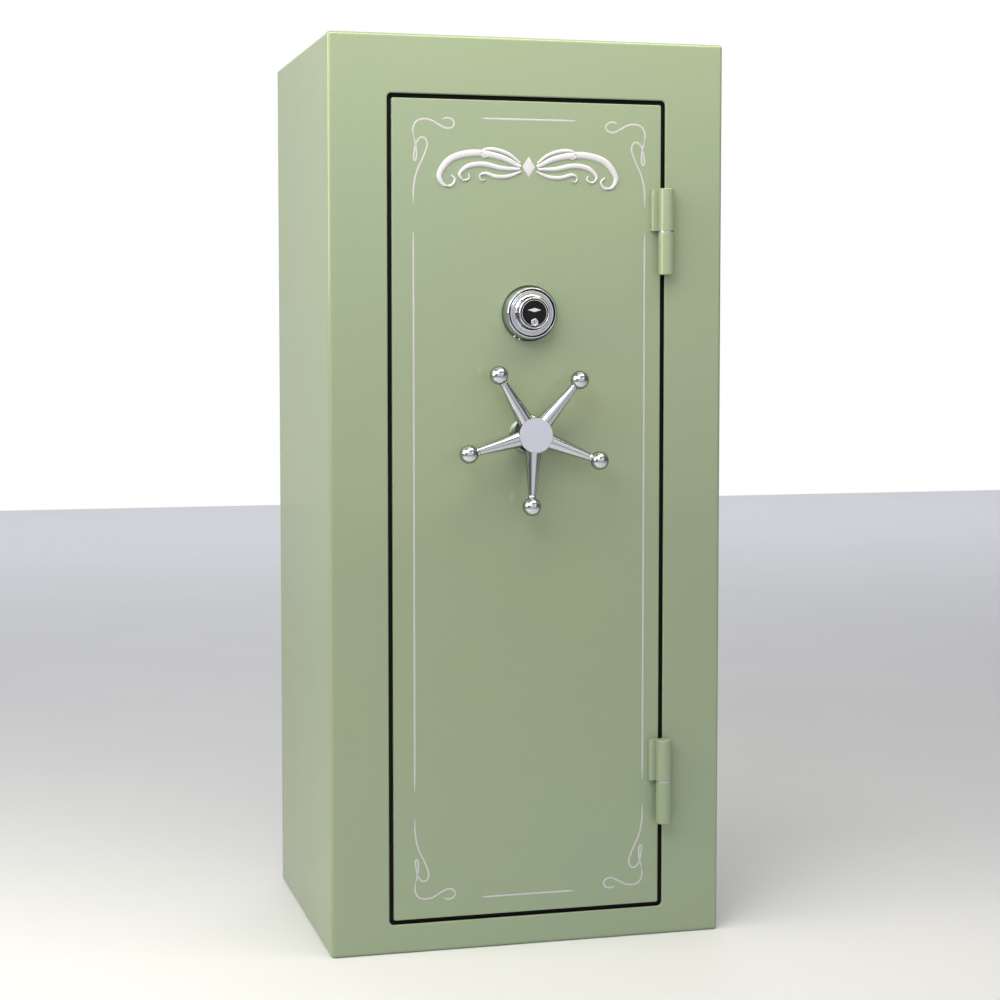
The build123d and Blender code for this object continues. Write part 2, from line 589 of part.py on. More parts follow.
def rack_bar():
    """The bar above the gear, with straight-sided teeth on its lower edge."""
    bar = slab(BOLT_BUTT + BOLT_BAR_WEB, RACK_RIGHT, GEAR_FRONT, GEAR_BACK, RACK_BOTTOM, RACK_TOP)
    pitch_line = HANDLE_HEIGHT + PITCH_RADIUS
    slope = math.tan(math.radians(PRESSURE_ANGLE))
    half = (TOOTH_PITCH / 2 - BACKLASH) / 2
    up = RACK_BOTTOM - pitch_line + 0.5
    down = ADDENDUM * GEAR_MODULE
    for i in range(RACK_TEETH):
        x = DOOR_X + TOOTH_PITCH * (RACK_FIRST_TOOTH + i)
        wide, narrow = half + up * slope, half - down * slope
        corners = [(x - wide, pitch_line + up), (x + wide, pitch_line + up)]
        corners += [(x + narrow, pitch_line - down), (x - narrow, pitch_line - down)]
        tooth = extrude(make_face(Polyline(*corners, close=True)), GEAR_THICKNESS)
        bar = bar + Pos(0, FRONT + GEAR_BACK, 0) * Rot(90, 0, 0) * tooth
    return bar


def blocking_plate():
    """Rises from the rack bar to the lock, with a notch for the lock's bolt at either end of its travel."""
    left = DOOR_X - LOCK_BOLT_WIDTH / 2 - BLOCK_PLATE_MARGIN
    right = DOOR_X + BOLT_THROW + LOCK_BOLT_WIDTH / 2 + BLOCK_PLATE_MARGIN
    top = LOCK_BOTTOM - BLOCK_PLATE_GAP
    plate = slab(left, right, GEAR_BACK, GEAR_BACK + BLOCK_PLATE, RACK_BOTTOM + 2, top)
    half = LOCK_BOLT_WIDTH / 2 + NOTCH_CLEARANCE
    depth = LOCK_BOLT_THROW - BLOCK_PLATE_GAP + NOTCH_CLEARANCE
    for x in (DOOR_X, DOOR_X + BOLT_THROW):
        plate = plate - slab(x - half, x + half, 0, PAN_BACK, top - depth, top + 1)
    return plate


def rack_guide(x):
    """A block on the lockwork plate with a window that the rack bar slides through."""
    c = GUIDE_CLEARANCE
    half = GUIDE_WIDTH / 2
    low, high = RACK_BOTTOM - GUIDE_WALL, RACK_TOP + GUIDE_WALL
    block = slab(x - half, x + half, LOCKWORK_BACK, GEAR_BACK + c + 4, low, high)
    low, high = RACK_BOTTOM - c, RACK_TOP + c
    return block - slab(x - half - 1, x + half + 1, GEAR_FRONT - c, GEAR_BACK + c, low, high)


def save_drive():
    save("drive_gear", drive_gear())
    save("rack_bar", rack_bar())
    save("blocking_plate", blocking_plate())
    save("rack_guides", rack_guide(LEFT_GUIDE), rack_guide(RIGHT_GUIDE))


# ---- Handle ---------------------------------------------------------------
def spoke_frame(index):
    """Direction of a spoke as (cos, sin), seen from the front."""
    angle = math.radians(SPOKE_PHASE + 360 / SPOKE_COUNT * index)
    return math.cos(angle), math.sin(angle)


def spoke_and_ball(index):
    """A tapered spoke that leans forward from the hub to its ball, and the ball with the spoke's socket."""
    c, s = spoke_frame(index)
    seat = HUB_RADIUS - SPOKE_SOCKET
    root = Vector(DOOR_X + c * seat, FRONT - SPOKE_ROOT_FRONT, HANDLE_HEIGHT + s * seat)
    ball = Vector(DOOR_X + c * BALL_CIRCLE, FRONT - BALL_FRONT, HANDLE_HEIGHT + s * BALL_CIRCLE)
    along = ball - root
    length = along.length - BALL_RADIUS + SPOKE_INTO_BALL
    plane = Plane(origin=root, z_dir=along)
    spoke = plane * Pos(0, 0, length / 2) * Cone(SPOKE_ROOT_RADIUS, SPOKE_TIP_RADIUS, length)
    knob = Pos(ball.X, ball.Y, ball.Z) * Sphere(BALL_RADIUS)
    return spoke, knob - spoke


def save_handle():
    hub = rod_y(DOOR_X, HANDLE_HEIGHT, HUB_RADIUS, -HUB_FRONT, -HUB_BACK)
    hub = fillet(hub.edges().filter_by(GeomType.CIRCLE).sort_by(Axis.Y)[0], HUB_ROUND)
    hub = hub - rod_y(DOOR_X, HANDLE_HEIGHT, SHAFT_RADIUS, -HUB_FRONT / 2, 0)
    spokes, balls = [], []
    for i in range(SPOKE_COUNT):
        spoke, ball = spoke_and_ball(i)
        hub = hub - spoke
        spokes.append(spoke)
        balls.append(ball)
    save("handle_hub", hub)
    save("handle_spokes", *spokes)
    save("handle_balls", *balls)
    shaft_end = GEAR_BACK + SHAFT_NUT_HEIGHT
    save("handle_shaft", rod_y(DOOR_X, HANDLE_HEIGHT, SHAFT_RADIUS, -HUB_FRONT / 2, shaft_end))

    hexagon = Pos(DOOR_X, FRONT + shaft_end, HANDLE_HEIGHT) * Rot(90, 0, 0)
    nut = hexagon * extrude(RegularPolygon(SHAFT_NUT_RADIUS, 6), SHAFT_NUT_HEIGHT)
    save("shaft_nut", nut - rod_y(DOOR_X, HANDLE_HEIGHT, SHAFT_RADIUS, 0, PAN_BACK))

    outer = SHAFT_RADIUS + SHAFT_BUSHING_WALL
    bushing = rod_y(DOOR_X, HANDLE_HEIGHT, outer, -ROSETTE_THICKNESS, LOCKWORK_BACK + 2)
    bore = rod_y(DOOR_X, HANDLE_HEIGHT, SHAFT_RADIUS + RUNNING_FIT, -HUB_FRONT, PAN_BACK)
    save("shaft_bushing", bushing - bore)
    rosette = rod_y(DOOR_X, HANDLE_HEIGHT, ROSETTE_RADIUS, -ROSETTE_THICKNESS, 0)
    rosette = fillet(rosette.edges().filter_by(GeomType.CIRCLE).sort_by(Axis.Y)[0], 3)
    save("handle_rosette", rosette - rod_y(DOOR_X, HANDLE_HEIGHT, outer, -HUB_FRONT, 1))


# ---- Dial and lock --------------------------------------------------------
def at_dial(radius, y0, y1, end_radius=None):
    """A round bar or cone on the dial's axis."""
    return rod_y(DOOR_X, DIAL_HEIGHT, radius, y0, y1, end_radius)


def save_dial():
    ring = at_dial(DIAL_RING_FRONT_RADIUS, -DIAL_RING_HEIGHT, 0, DIAL_RING_RADIUS)
    ring = ring - at_dial(DIAL_RING_BORE, -DIAL_RING_HEIGHT - 1, -DIAL_RING_BACK)
    ring = ring - at_dial(SPINDLE_RADIUS + SPINDLE_TUBE_WALL, -DIAL_RING_HEIGHT, 1)
    save("dial_ring", ring)

    key_z = DIAL_HEIGHT - KEY_PLUG_DROP
    drum = at_dial(DIAL_RADIUS, -DIAL_FRONT, -DIAL_RING_BACK - 1)
    knob = at_dial(KNOB_FRONT_RADIUS, -KNOB_FRONT, -DIAL_FRONT, KNOB_RADIUS)
    knob = fillet(knob.edges().filter_by(GeomType.CIRCLE).sort_by(Axis.Y)[0], 1)
    knob = drum + knob - at_dial(FACE_RADIUS, -KNOB_FRONT - 1, -KNOB_FRONT + FACE_DEPTH)
    plug_back = KEY_PLUG_DEPTH - KNOB_FRONT
    bore = rod_y(DOOR_X, key_z, KEY_PLUG_RADIUS + RUNNING_FIT, -KNOB_FRONT - 1, plug_back)
    knob = knob - bore - at_dial(SPINDLE_RADIUS, -DIAL_FRONT, 0)
    save("dial_knob", knob)
    face = at_dial(FACE_RADIUS, -KNOB_FRONT + FACE_DEPTH - FACE_THICKNESS, -KNOB_FRONT + FACE_DEPTH)
    save("dial_face", face - bore)
    plug = rod_y(DOOR_X, key_z, KEY_PLUG_RADIUS, -KNOB_FRONT - KEY_PLUG_PROUD, plug_back - END_PLAY)
    slot_front = -KNOB_FRONT - KEY_PLUG_PROUD - 1
    slot = slab(DOOR_X - 0.7, DOOR_X + 0.7, slot_front, -KNOB_FRONT + 6, key_z - 4, key_z + 4)
    save("dial_key_plug", plug - slot)

    tube = at_dial(SPINDLE_RADIUS + SPINDLE_TUBE_WALL, -DIAL_RING_BACK, LOCKWORK_BACK)
    save("spindle_tube", tube - at_dial(SPINDLE_RADIUS + RUNNING_FIT, -DIAL_FRONT, PAN_BACK))
    first = LOCKWORK_BACK + LOCK_WALL + 2
    cam_front = first + WHEEL_COUNT * WHEEL_PITCH
    save("dial_spindle", at_dial(SPINDLE_RADIUS, -DIAL_FRONT, cam_front + WHEEL_THICKNESS + 1))
    wheels = []
    for i in range(WHEEL_COUNT):
        front = first + i * WHEEL_PITCH
        wheels.append(gated_disc(WHEEL_RADIUS, front, WHEEL_GATE))
    save("wheel_pack", *wheels)
    save("drive_cam", gated_disc(CAM_RADIUS, cam_front, CAM_GATE))


def gated_disc(radius, front, gate):
    """A wheel or cam on the spindle, with a gate cut into its top edge."""
    disc = at_dial(radius, front, front + WHEEL_THICKNESS) - at_dial(SPINDLE_RADIUS, 0, PAN_BACK)
    low = DIAL_HEIGHT + radius - GATE_DEPTH
    return disc - slab(DOOR_X - gate / 2, DOOR_X + gate / 2, 0, PAN_BACK, low, DIAL_HEIGHT + radius + 1)


def lock_corners():
    """The four cover screws of the lock, as (x, z)."""
    inset = LOCK_WALL + LOCK_POST / 2
    half = LOCK_WIDTH / 2 - inset
    return [(DOOR_X + sx * half, z) for sx in (-1, 1) for z in (LOCK_BOTTOM + inset, LOCK_TOP - inset)]


def save_lock():
    left, right = DOOR_X - LOCK_WIDTH / 2, DOOR_X + LOCK_WIDTH / 2
    w = LOCK_WALL
    case = rounded_slab(left, right, LOCKWORK_BACK, LOCK_BACK, LOCK_BOTTOM, LOCK_TOP, 3)
    case = case - slab(left + w, right - w, LOCKWORK_BACK + w, LOCK_BACK + 1, LOCK_BOTTOM + w, LOCK_TOP - w)
    cover = rounded_slab(left, right, LOCK_BACK, LOCK_BACK + LOCK_COVER, LOCK_BOTTOM, LOCK_TOP, 3)
    screws = []
    for x, z in lock_corners():
        half = LOCK_POST / 2 + 0.5
        case = case + slab(x - half, x + half, LOCKWORK_BACK + w, LOCK_BACK, z - half, z + half)
        outside = LOCK_BACK + LOCK_COVER
        shank = rod_y(x, z, LOCK_SCREW_RADIUS, LOCK_BACK - LOCK_SCREW_LENGTH, outside)
        case = case - shank
        cover = cover - shank
        screws.append(shank + rod_y(x, z, 1.8 * LOCK_SCREW_RADIUS, outside, outside + LOCK_SCREW_HEAD))
    fit = LOCK_BOLT_FIT
    half = LOCK_BOLT_WIDTH / 2
    front, back = LOCK_BOLT_FRONT, LOCK_BOLT_FRONT + LOCK_BOLT_THICKNESS
    wide = half + fit
    low, high = LOCK_BOTTOM - 1, LOCK_BOTTOM + w + 1
    case = case - slab(DOOR_X - wide, DOOR_X + wide, front - fit, back + fit, low, high)
    case = case - at_dial(SPINDLE_RADIUS + RUNNING_FIT, LOCKWORK_BACK - 1, LOCKWORK_BACK + w + 1)
    save("lock_case", case)
    save("lock_cover", cover)
    save("lock_screws", *screws)
    bolt_top = LOCK_BOTTOM + LOCK_BOLT_LENGTH
    save("lock_bolt", slab(DOOR_X - half, DOOR_X + half, front, back, LOCK_BOTTOM, bolt_top))


# ---- Interior fittings ----------------------------------------------------
def save_shelves():
    top = TOP_SHELF_HEIGHT
    save("top_shelf", slab(-INNER_X, INNER_X, SHELF_FRONT, INNER_BACK, top, top + BOARD))
    save("divider", slab(DIVIDER_LEFT, DIVIDER_LEFT + BOARD, SHELF_FRONT, INNER_BACK, INNER_FLOOR, top))

    bay_left = DIVIDER_LEFT + BOARD
    play = STANDARD_THICKNESS + SHELF_PLAY
    shelves, standards, clips = [], [], []
    for y in (SHELF_FRONT + STANDARD_INSET, INNER_BACK - STANDARD_INSET):
        y0, y1 = y - STANDARD_WIDTH / 2, y + STANDARD_WIDTH / 2
        low, high = INNER_FLOOR + STANDARD_END, top - STANDARD_END
        standards.append(slab(bay_left, bay_left + STANDARD_THICKNESS, y0, y1, low, high))
        standards.append(slab(INNER_X - STANDARD_THICKNESS, INNER_X, y0, y1, low, high))
        for z in SIDE_SHELF_HEIGHTS:
            inner, outer = bay_left + STANDARD_THICKNESS, INNER_X - STANDARD_THICKNESS
            clips.append(slab(inner, inner + CLIP_REACH, y0 + 2, y1 - 2, z - CLIP_HEIGHT, z))
            clips.append(slab(outer - CLIP_REACH, outer, y0 + 2, y1 - 2, z - CLIP_HEIGHT, z))
    for z in SIDE_SHELF_HEIGHTS:
        shelves.append(slab(bay_left + play, INNER_X - play, SHELF_FRONT, INNER_BACK, z, z + BOARD))
    save("side_shelves", *shelves)
    save("shelf_standards", *standards)
    save("shelf_clips", *clips)


def gun_places():
    """Centres of the long-gun places across the left bay."""
    pitch = (DIVIDER_LEFT + INNER_X) / REST_NOTCHES
    return [-INNER_X + pitch * (i + 0.5) for i in range(REST_NOTCHES)]


def save_gun_rests():
    mouth = INNER_BACK - REST_DEPTH
    rest_top = REST_HEIGHT + REST_THICKNESS
    rest = slab(-INNER_X, DIVIDER_LEFT, mouth, INNER_BACK, REST_HEIGHT, rest_top)
    pad_front = mouth - STOCK_REST_DEPTH
    pad_top = INNER_FLOOR + STOCK_REST_THICKNESS
    pad = slab(-INNER_X, DIVIDER_LEFT, pad_front, mouth, INNER_FLOOR, pad_top)
    well_y = pad_front + STOCK_REST_DEPTH / 2
    for x in gun_places():
        rest = rest - rod_z(x, mouth, REST_HEIGHT - 1, rest_top + 1, REST_NOTCH_RADIUS)
        pad = pad - rod_z(x, well_y, pad_top - STOCK_WELL_DEPTH, pad_top + 1, STOCK_WELL_RADIUS)
    save("barrel_rest", rest)
    save("stock_rest", pad)


# ---- Emblem ---------------------------------------------------------------
def emblem_leaf(length, half_width, x0):
    """A slim pointed leaf from x0 outwards, made of two arcs."""
    tip, middle = x0 + length, x0 + length * 0.4
    upper = ThreePointArc((x0, 0), (middle, half_width), (tip, 0))
    lower = ThreePointArc((tip, 0), (middle, -half_width), (x0, 0))
    return make_face([upper, lower])


def save_emblem():
    half = EMBLEM_WIDTH / 2
    diamond = Polyline((0, 17), (11, 0), (0, -17), (-11, 0), close=True)
    pieces = [make_face(diamond)]
    for side in (0, 180):
        turn = Rot(0, side, 0)
        pieces.append(turn * emblem_leaf(half - 14, 4.5, 14))
        pieces.append(turn * Pos(15, 4, 0) * Rot(0, 0, 24) * emblem_leaf(44, 4, 0))
        pieces.append(turn * Pos(15, -4, 0) * Rot(0, 0, -24) * emblem_leaf(44, 4, 0))
    place = Pos(DOOR_X, FRONT, EMBLEM_HEIGHT) * Rot(90, 0, 0)
    whole = joined([extrude(piece, EMBLEM_RISE / 2, both=True) for piece in pieces])
    save("door_emblem", place * Pos(0, 0, EMBLEM_RISE / 2) * whole)


os.makedirs("parts", exist_ok=True)
save_body()
save("door_jamb", door_jamb())
save_hinges()
save_door_shell()
save_bolts()
save_drive()
save_handle()
save_dial()
save_lock()
save_shelves()
save_gun_rests()
save_emblem()
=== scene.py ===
"""Looks of an upright gun safe: enamel, chrome, dial, handle, pinstripes, carpeted inside, floor and light.

Metres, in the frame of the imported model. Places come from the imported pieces; sizes of decoration are named
here, in millimetres.
"""
import json
import math

import bmesh
import bpy
from mathutils import Matrix, Vector


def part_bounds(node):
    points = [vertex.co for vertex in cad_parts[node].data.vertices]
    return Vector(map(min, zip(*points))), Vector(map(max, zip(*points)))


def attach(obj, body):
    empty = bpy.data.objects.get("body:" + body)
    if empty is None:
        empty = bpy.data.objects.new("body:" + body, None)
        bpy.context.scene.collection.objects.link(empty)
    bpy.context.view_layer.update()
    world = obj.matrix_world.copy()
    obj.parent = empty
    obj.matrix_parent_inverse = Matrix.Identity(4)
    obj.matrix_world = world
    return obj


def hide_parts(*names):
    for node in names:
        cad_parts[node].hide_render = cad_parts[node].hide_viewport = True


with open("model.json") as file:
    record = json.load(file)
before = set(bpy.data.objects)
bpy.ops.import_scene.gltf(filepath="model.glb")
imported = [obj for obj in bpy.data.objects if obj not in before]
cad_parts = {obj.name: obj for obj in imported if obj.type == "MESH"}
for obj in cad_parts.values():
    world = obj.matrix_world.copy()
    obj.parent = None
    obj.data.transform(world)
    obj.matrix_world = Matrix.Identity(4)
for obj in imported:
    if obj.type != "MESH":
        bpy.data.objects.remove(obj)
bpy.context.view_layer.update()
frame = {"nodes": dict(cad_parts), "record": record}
NODES = frame["nodes"]
MM = 0.001
TINY = 1e-6
MERGE_DISTANCE = 1e-7

# ---- Camera: metres, degrees, and a lens in millimetres -------------------
CAMERA_PLACE = (-0.933, -3.602, 1.030)
CAMERA_YAW = -14.79
CAMERA_PITCH = -3.5
LENS = 74.64
SHIFT_Y = -0.0365
CAMERA_REACH = 60.0

# ---- Decoration sizes, in millimetres unless the name says otherwise ------
STRIPE_WIDTH = 3.0
STRIPE_RISE = 0.3
STRIPE_INSET_LEFT = 36.0
STRIPE_INSET_RIGHT = 28.5
STRIPE_INSET_TOP = 30.5
STRIPE_INSET_BOTTOM = 30.0
SCROLL_HEIGHT = 141.0
SIDE_STRIPE_GAP = 45.0
TOP_STRIPE_HALF = 81.0

HUB_DRUM_DEPTH = 27.0
HUB_STEP = 1.0
HUB_STEP_LENGTH = 2.0
HUB_EDGE = 1.2
ROSETTE_BORE = 12.0

SPOKE_SOCKET = 5.0
SPOKE_SETBACK = 14.0
SPOKE_ROOT_RADIUS = 13.4
SPOKE_NECK_RADIUS = 6.3
SPOKE_COLLAR_RADIUS = 7.0
SPOKE_TIP_RADIUS = 6.0
SPOKE_OVERLAP = 1.2

CASE_LIP = 4.5
CASE_LIP_WIDTH = 2.5
CASE_FLOOR = 3.4
CASE_BORE = 6.0
CASE_BUMP_RADIUS = 2.2
CASE_BUMP_RISE = 9.0
CASE_BUMP_DEGREES = (236, 247)

DRUM_BACK = 4.2
DRUM_BORE = 4.0
DRUM_SINK = 1.4
DRUM_SKIRT_RADIUS = 30.5
DRUM_GRIP_RADIUS = 27.0

TICKS = 100
# Every so many ticks: how long they are, with the rarest first.
TICK_LENGTHS = {10: 3.4, 5: 2.6, 1: 1.8}
TICK_HALF = 0.22
TENTH_TICK_HALF = 0.34
TICK_INSET = 4.6
TICK_RISE = 0.03
TICK_DEPTH = 0.2

DISC_RING_INSET = 1.8
DISC_RING_WIDTH = 0.7
DISC_RING_RISE = 0.2
DISC_RING_SINK = 0.1
LOZENGE_HALF_WIDTH = 11.5
LOZENGE_HALF_HEIGHT = 3.4
LOZENGE_LIFT = 5.0
LOZENGE_RISE = 0.2
LOZENGE_DEPTH = 0.3

PLUG_LENGTH = 8.0
PLUG_DISH = 0.5
KEYWAY_SIZE = (1.1, 0.5, 5.6)
KEYWAY_SINK = 0.45
KEYWAY_BEVEL = 0.2

EMBLEM_HALF_WIDTH = 11
EMBLEM_HALF_HEIGHT = 17

# ---- Steps of curves ------------------------------------------------------
LATHE_STEPS = 144
SMALL_LATHE_STEPS = 72
SPOKE_STEPS = 64
BALL_ARC_STEPS = 48
SIDE_STRIPE_STEPS = 60
TOP_STRIPE_STEPS = 30

# ---- Studio ---------------------------------------------------------------
# Grey levels by direction, each along one axis from -1 to 1: what lies behind the camera, the white sweep
# behind the safe, the side where that sweep ends, and the height of the room.
FRONT_STOPS = [(-1.0, 0.80), (-0.86, 0.72), (-0.66, 0.16), (0.3, 0.10), (1.0, 0.30)]
SWEEP_STOPS = [(-1.0, 0.0), (0.55, 0.0), (0.86, 1.0), (1.0, 1.0)]
SWEEP_EDGE_STOPS = [(-1.0, 0.0), (-0.5, 0.0), (-0.02, 1.0), (1.0, 1.0)]
CEILING_STOPS = [(-1.0, 0.1), (0.2, 0.0), (0.6, 0.25), (1.0, 0.6)]
WARM, NEUTRAL, COOL = (1.0, 0.92, 0.68), (1.0, 1.0, 1.0), (0.97, 1.0, 1.03)
# Name, place, aim, size in metres, watts, colour.
LIGHTS = [
    ("key_left", (-1.6, -2.0, 2.7), (-0.1, 0, 1.3), (2.0, 1.5), 44, COOL),
    ("side_box", (-2.2, -0.5, 1.9), (0, -0.2, 1.4), (1.3, 1.6), 42, WARM),
    ("fill_right", (2.0, -2.8, 2.4), (0, 0, 1.1), (1.0, 1.4), 5, WARM),
    ("top", (0.2, -0.85, 2.4), (0, -0.2, 1.2), (1.8, 0.5), 20, WARM),
    ("back", (1.5, 8.0, 3.9), (1.5, 8.0, 0), (16.0, 7.0), 230, NEUTRAL),
]
FLOOR_HALF = 9.0

# Places of the colour sockets of a Mix node, whose names repeat for every kind of data.
MIX_FACTOR, MIX_FIRST, MIX_SECOND, MIX_RESULT = 0, 6, 7, 2


# ---- Node materials -------------------------------------------------------
class Paint:
    """A node material under construction: a Principled shader and the texture nodes that feed it."""

    def __init__(self, name, **sockets):
        self.material = bpy.data.materials.new(name)
        self.material.use_nodes = True
        self.tree = self.material.node_tree
        self.shader = self.tree.nodes["Principled BSDF"]
        for key, value in sockets.items():
            self.shader.inputs[key.replace("_", " ")].default_value = value
        self.place = self.node("ShaderNodeTexCoord").outputs["Object"]

    def node(self, kind, **settings):
        node = self.tree.nodes.new(kind)
        for key, value in settings.items():
            setattr(node, key, value)
        return node

    def feed(self, socket, value):
        if isinstance(value, bpy.types.NodeSocket):
            self.tree.links.new(value, socket)
        else:
            socket.default_value = value

    def stretched_place(self, stretch):
        mapping = self.node("ShaderNodeMapping")
        self.feed(mapping.inputs["Vector"], self.place)
        self.feed(mapping.inputs["Scale"], stretch)
        return mapping.outputs["Vector"]

    def noise(self, scale, detail=3.0, roughness=0.5, stretch=(1, 1, 1)):
        noise = self.node("ShaderNodeTexNoise")
        self.feed(noise.inputs["Vector"], self.stretched_place(stretch))
        self.feed(noise.inputs["Scale"], scale)
        self.feed(noise.inputs["Detail"], detail)
        self.feed(noise.inputs["Roughness"], roughness)
        return noise.outputs["Fac"]

    def cells(self, scale):
        cells = self.node("ShaderNodeTexVoronoi")
        self.feed(cells.inputs["Vector"], self.place)
        self.feed(cells.inputs["Scale"], scale)
        return cells

    def span(self, value, low, high, from_low=0.3, from_high=0.7):
        """Maps a texture value between two limits to a number between low and high."""
        node = self.node("ShaderNodeMapRange")
        self.feed(node.inputs["Value"], value)
        self.feed(node.inputs["From Min"], from_low)
        self.feed(node.inputs["From Max"], from_high)
        self.feed(node.inputs["To Min"], low)
        self.feed(node.inputs["To Max"], high)
        return node.outputs["Result"]

    def blend(self, factor, first, second):
        node = self.node("ShaderNodeMix", data_type="RGBA")
        self.feed(node.inputs[MIX_FACTOR], factor)
        self.feed(node.inputs[MIX_FIRST], first)
        self.feed(node.inputs[MIX_SECOND], second)
        return node.outputs[MIX_RESULT]

    def colour(self, value):
        self.feed(self.shader.inputs["Base Color"], value)

    def roughness(self, value):
        self.feed(self.shader.inputs["Roughness"], value)

    def bump(self, *layers):
        """Stacks (height, strength, distance in metres) layers of bump."""
        last = None
        for height, strength, distance in layers:
            node = self.node("ShaderNodeBump")
            self.feed(node.inputs["Height"], height)
            self.feed(node.inputs["Strength"], strength)
            self.feed(node.inputs["Distance"], distance)
            if last is not None:
                self.feed(node.inputs["Normal"], last)
            last = node.outputs["Normal"]
        self.feed(self.shader.inputs["Normal"], last)


def enamel():
    """Sage metallic enamel under clear coat: slow tone drift, fine flake and a faint orange peel."""
    paint = Paint("sage_enamel", Metallic=0.15, Coat_Weight=0.55, Coat_Roughness=0.06, Specular_IOR_Level=0.0)
    drift = paint.noise(1.6, 2.0)
    warm, cool = (0.288, 0.346, 0.222, 1), (0.270, 0.346, 0.236, 1)
    base = paint.blend(paint.span(drift, 0, 1, 0.35, 0.65), warm, cool)
    flake = paint.cells(2600).outputs["Color"]
    sparkle = paint.node("ShaderNodeSeparateColor")
    paint.feed(sparkle.inputs[0], flake)
    fleck = paint.span(sparkle.outputs[0], 0.0, 0.14, 0.0, 1.0)
    paint.colour(paint.blend(fleck, base, (0.62, 0.68, 0.52, 1)))
    paint.roughness(paint.span(paint.noise(7, 4), 0.30, 0.40))
    paint.bump((paint.noise(260, 2), 0.05, 0.0006), (paint.noise(2.2, 1), 0.10, 0.004))
    return paint.material


def black_coat_and_gap_shade():
    """Black powder coat with its fine pebbled skin; on the jamb its near-black is painted shade standing in
    for the deep door gap.
    """
    paint = Paint("black_powder_gap_shade", Specular_IOR_Level=0.12)
    # Near-black colour: partly the coat's own black, partly painted shade of the deep door gap where it covers
    # the jamb.
    paint.colour(paint.blend(paint.noise(30, 4), (0.004, 0.004, 0.005, 1), (0.010, 0.010, 0.011, 1)))
    paint.roughness(paint.span(paint.noise(90, 3), 0.5, 0.7))
    paint.bump((paint.noise(900, 3), 0.5, 0.0003))
    return paint.material


def chrome():
    """Polished chrome with faint wiping marks and smudges."""
    # Near-black edge tint: darkens grazing reflections into dark rims on balls and spokes, painted shade.
    paint = Paint("chrome", Metallic=1.0, Specular_Tint=(0.06, 0.07, 0.10, 1))
    paint.colour(paint.blend(paint.noise(12, 3), (0.60, 0.61, 0.66, 1), (0.68, 0.69, 0.74, 1)))
    smudge = paint.noise(38, 5, 0.6)
    paint.roughness(paint.span(smudge, 0.05, 0.11))
    paint.bump((paint.noise(420, 2), 0.02, 0.0002))
    return paint.material


def door_reflection_chrome():
    """Duller chrome of the rosette behind the handle; its dark green base colour is a painted reflection of
    the green door with painted shade.
    """
    # Near-black edge tint: darkens grazing reflections into dark rims, painted shade.
    paint = Paint("door_reflection_chrome", Metallic=0.9, Specular_Tint=(0.06, 0.07, 0.10, 1))
    # Dark green base colour: painted reflection of the green door and painted shade, not the plating's own
    # tone.
    paint.colour(paint.blend(paint.noise(16, 3), (0.17, 0.21, 0.17, 1), (0.23, 0.27, 0.22, 1)))
    paint.roughness(paint.span(paint.noise(44, 4), 0.20, 0.30))
    return paint.material


def satin_steel():
    """Finely turned satin face."""
    paint = Paint("satin_face", Metallic=1.0)
    paint.colour(paint.blend(paint.noise(20, 4), (0.84, 0.85, 0.96, 1), (0.87, 0.88, 0.98, 1)))
    paint.roughness(paint.span(paint.noise(60, 4), 0.26, 0.30))
    paint.bump((paint.noise(300, 2), 0.02, 0.00005))
    return paint.material


def plated_steel():
    """Zinc-plated steel: rolled grain and slightly uneven passivation."""
    paint = Paint("zinc_steel", Metallic=1.0)
    cloud = paint.noise(26, 5, 0.6)
    paint.colour(paint.blend(cloud, (0.50, 0.50, 0.47, 1), (0.66, 0.67, 0.68, 1)))
    grain = paint.noise(60, 4, 0.6, (1, 1, 14))
    paint.roughness(paint.span(grain, 0.28, 0.46))
    paint.bump((grain, 0.15, 0.0002))
    return paint.material


def turned_steel():
    """Bright turned steel with fine tool rings."""
    paint = Paint("turned_steel", Metallic=1.0)
    paint.colour(paint.blend(paint.noise(40, 4), (0.52, 0.52, 0.53, 1), (0.66, 0.66, 0.67, 1)))
    rings = paint.noise(500, 2, 0.5, (0.3, 3.0, 0.3))
    paint.roughness(paint.span(rings, 0.18, 0.34))
    paint.bump((rings, 0.12, 0.0001))
    return paint.material


def bronze():
    """Machined bronze, slightly uneven in tone."""
    paint = Paint("bronze", Metallic=1.0)
    paint.colour(paint.blend(paint.noise(45, 5), (0.42, 0.27, 0.12, 1), (0.62, 0.44, 0.22, 1)))
    paint.roughness(paint.span(paint.noise(200, 4), 0.24, 0.42))
    paint.bump((paint.noise(700, 2), 0.08, 0.0001))
    return paint.material


def die_cast():
    """Grey die-cast alloy with a fine sandy skin."""
    paint = Paint("die_cast", Metallic=0.85)
    paint.colour(paint.blend(paint.noise(30, 4), (0.36, 0.36, 0.37, 1), (0.46, 0.46, 0.47, 1)))
    paint.roughness(paint.span(paint.noise(120, 4), 0.42, 0.58))
    paint.bump((paint.noise(1400, 3), 0.35, 0.0002))
    return paint.material


def gypsum():
    """Pale fireboard with paper fibre."""
    paint = Paint("fireboard", Roughness=0.9)
    paint.colour(paint.blend(paint.noise(60, 6, 0.65), (0.50, 0.46, 0.41, 1), (0.66, 0.62, 0.56, 1)))
    paint.bump((paint.noise(500, 4), 0.3, 0.0004))
    return paint.material


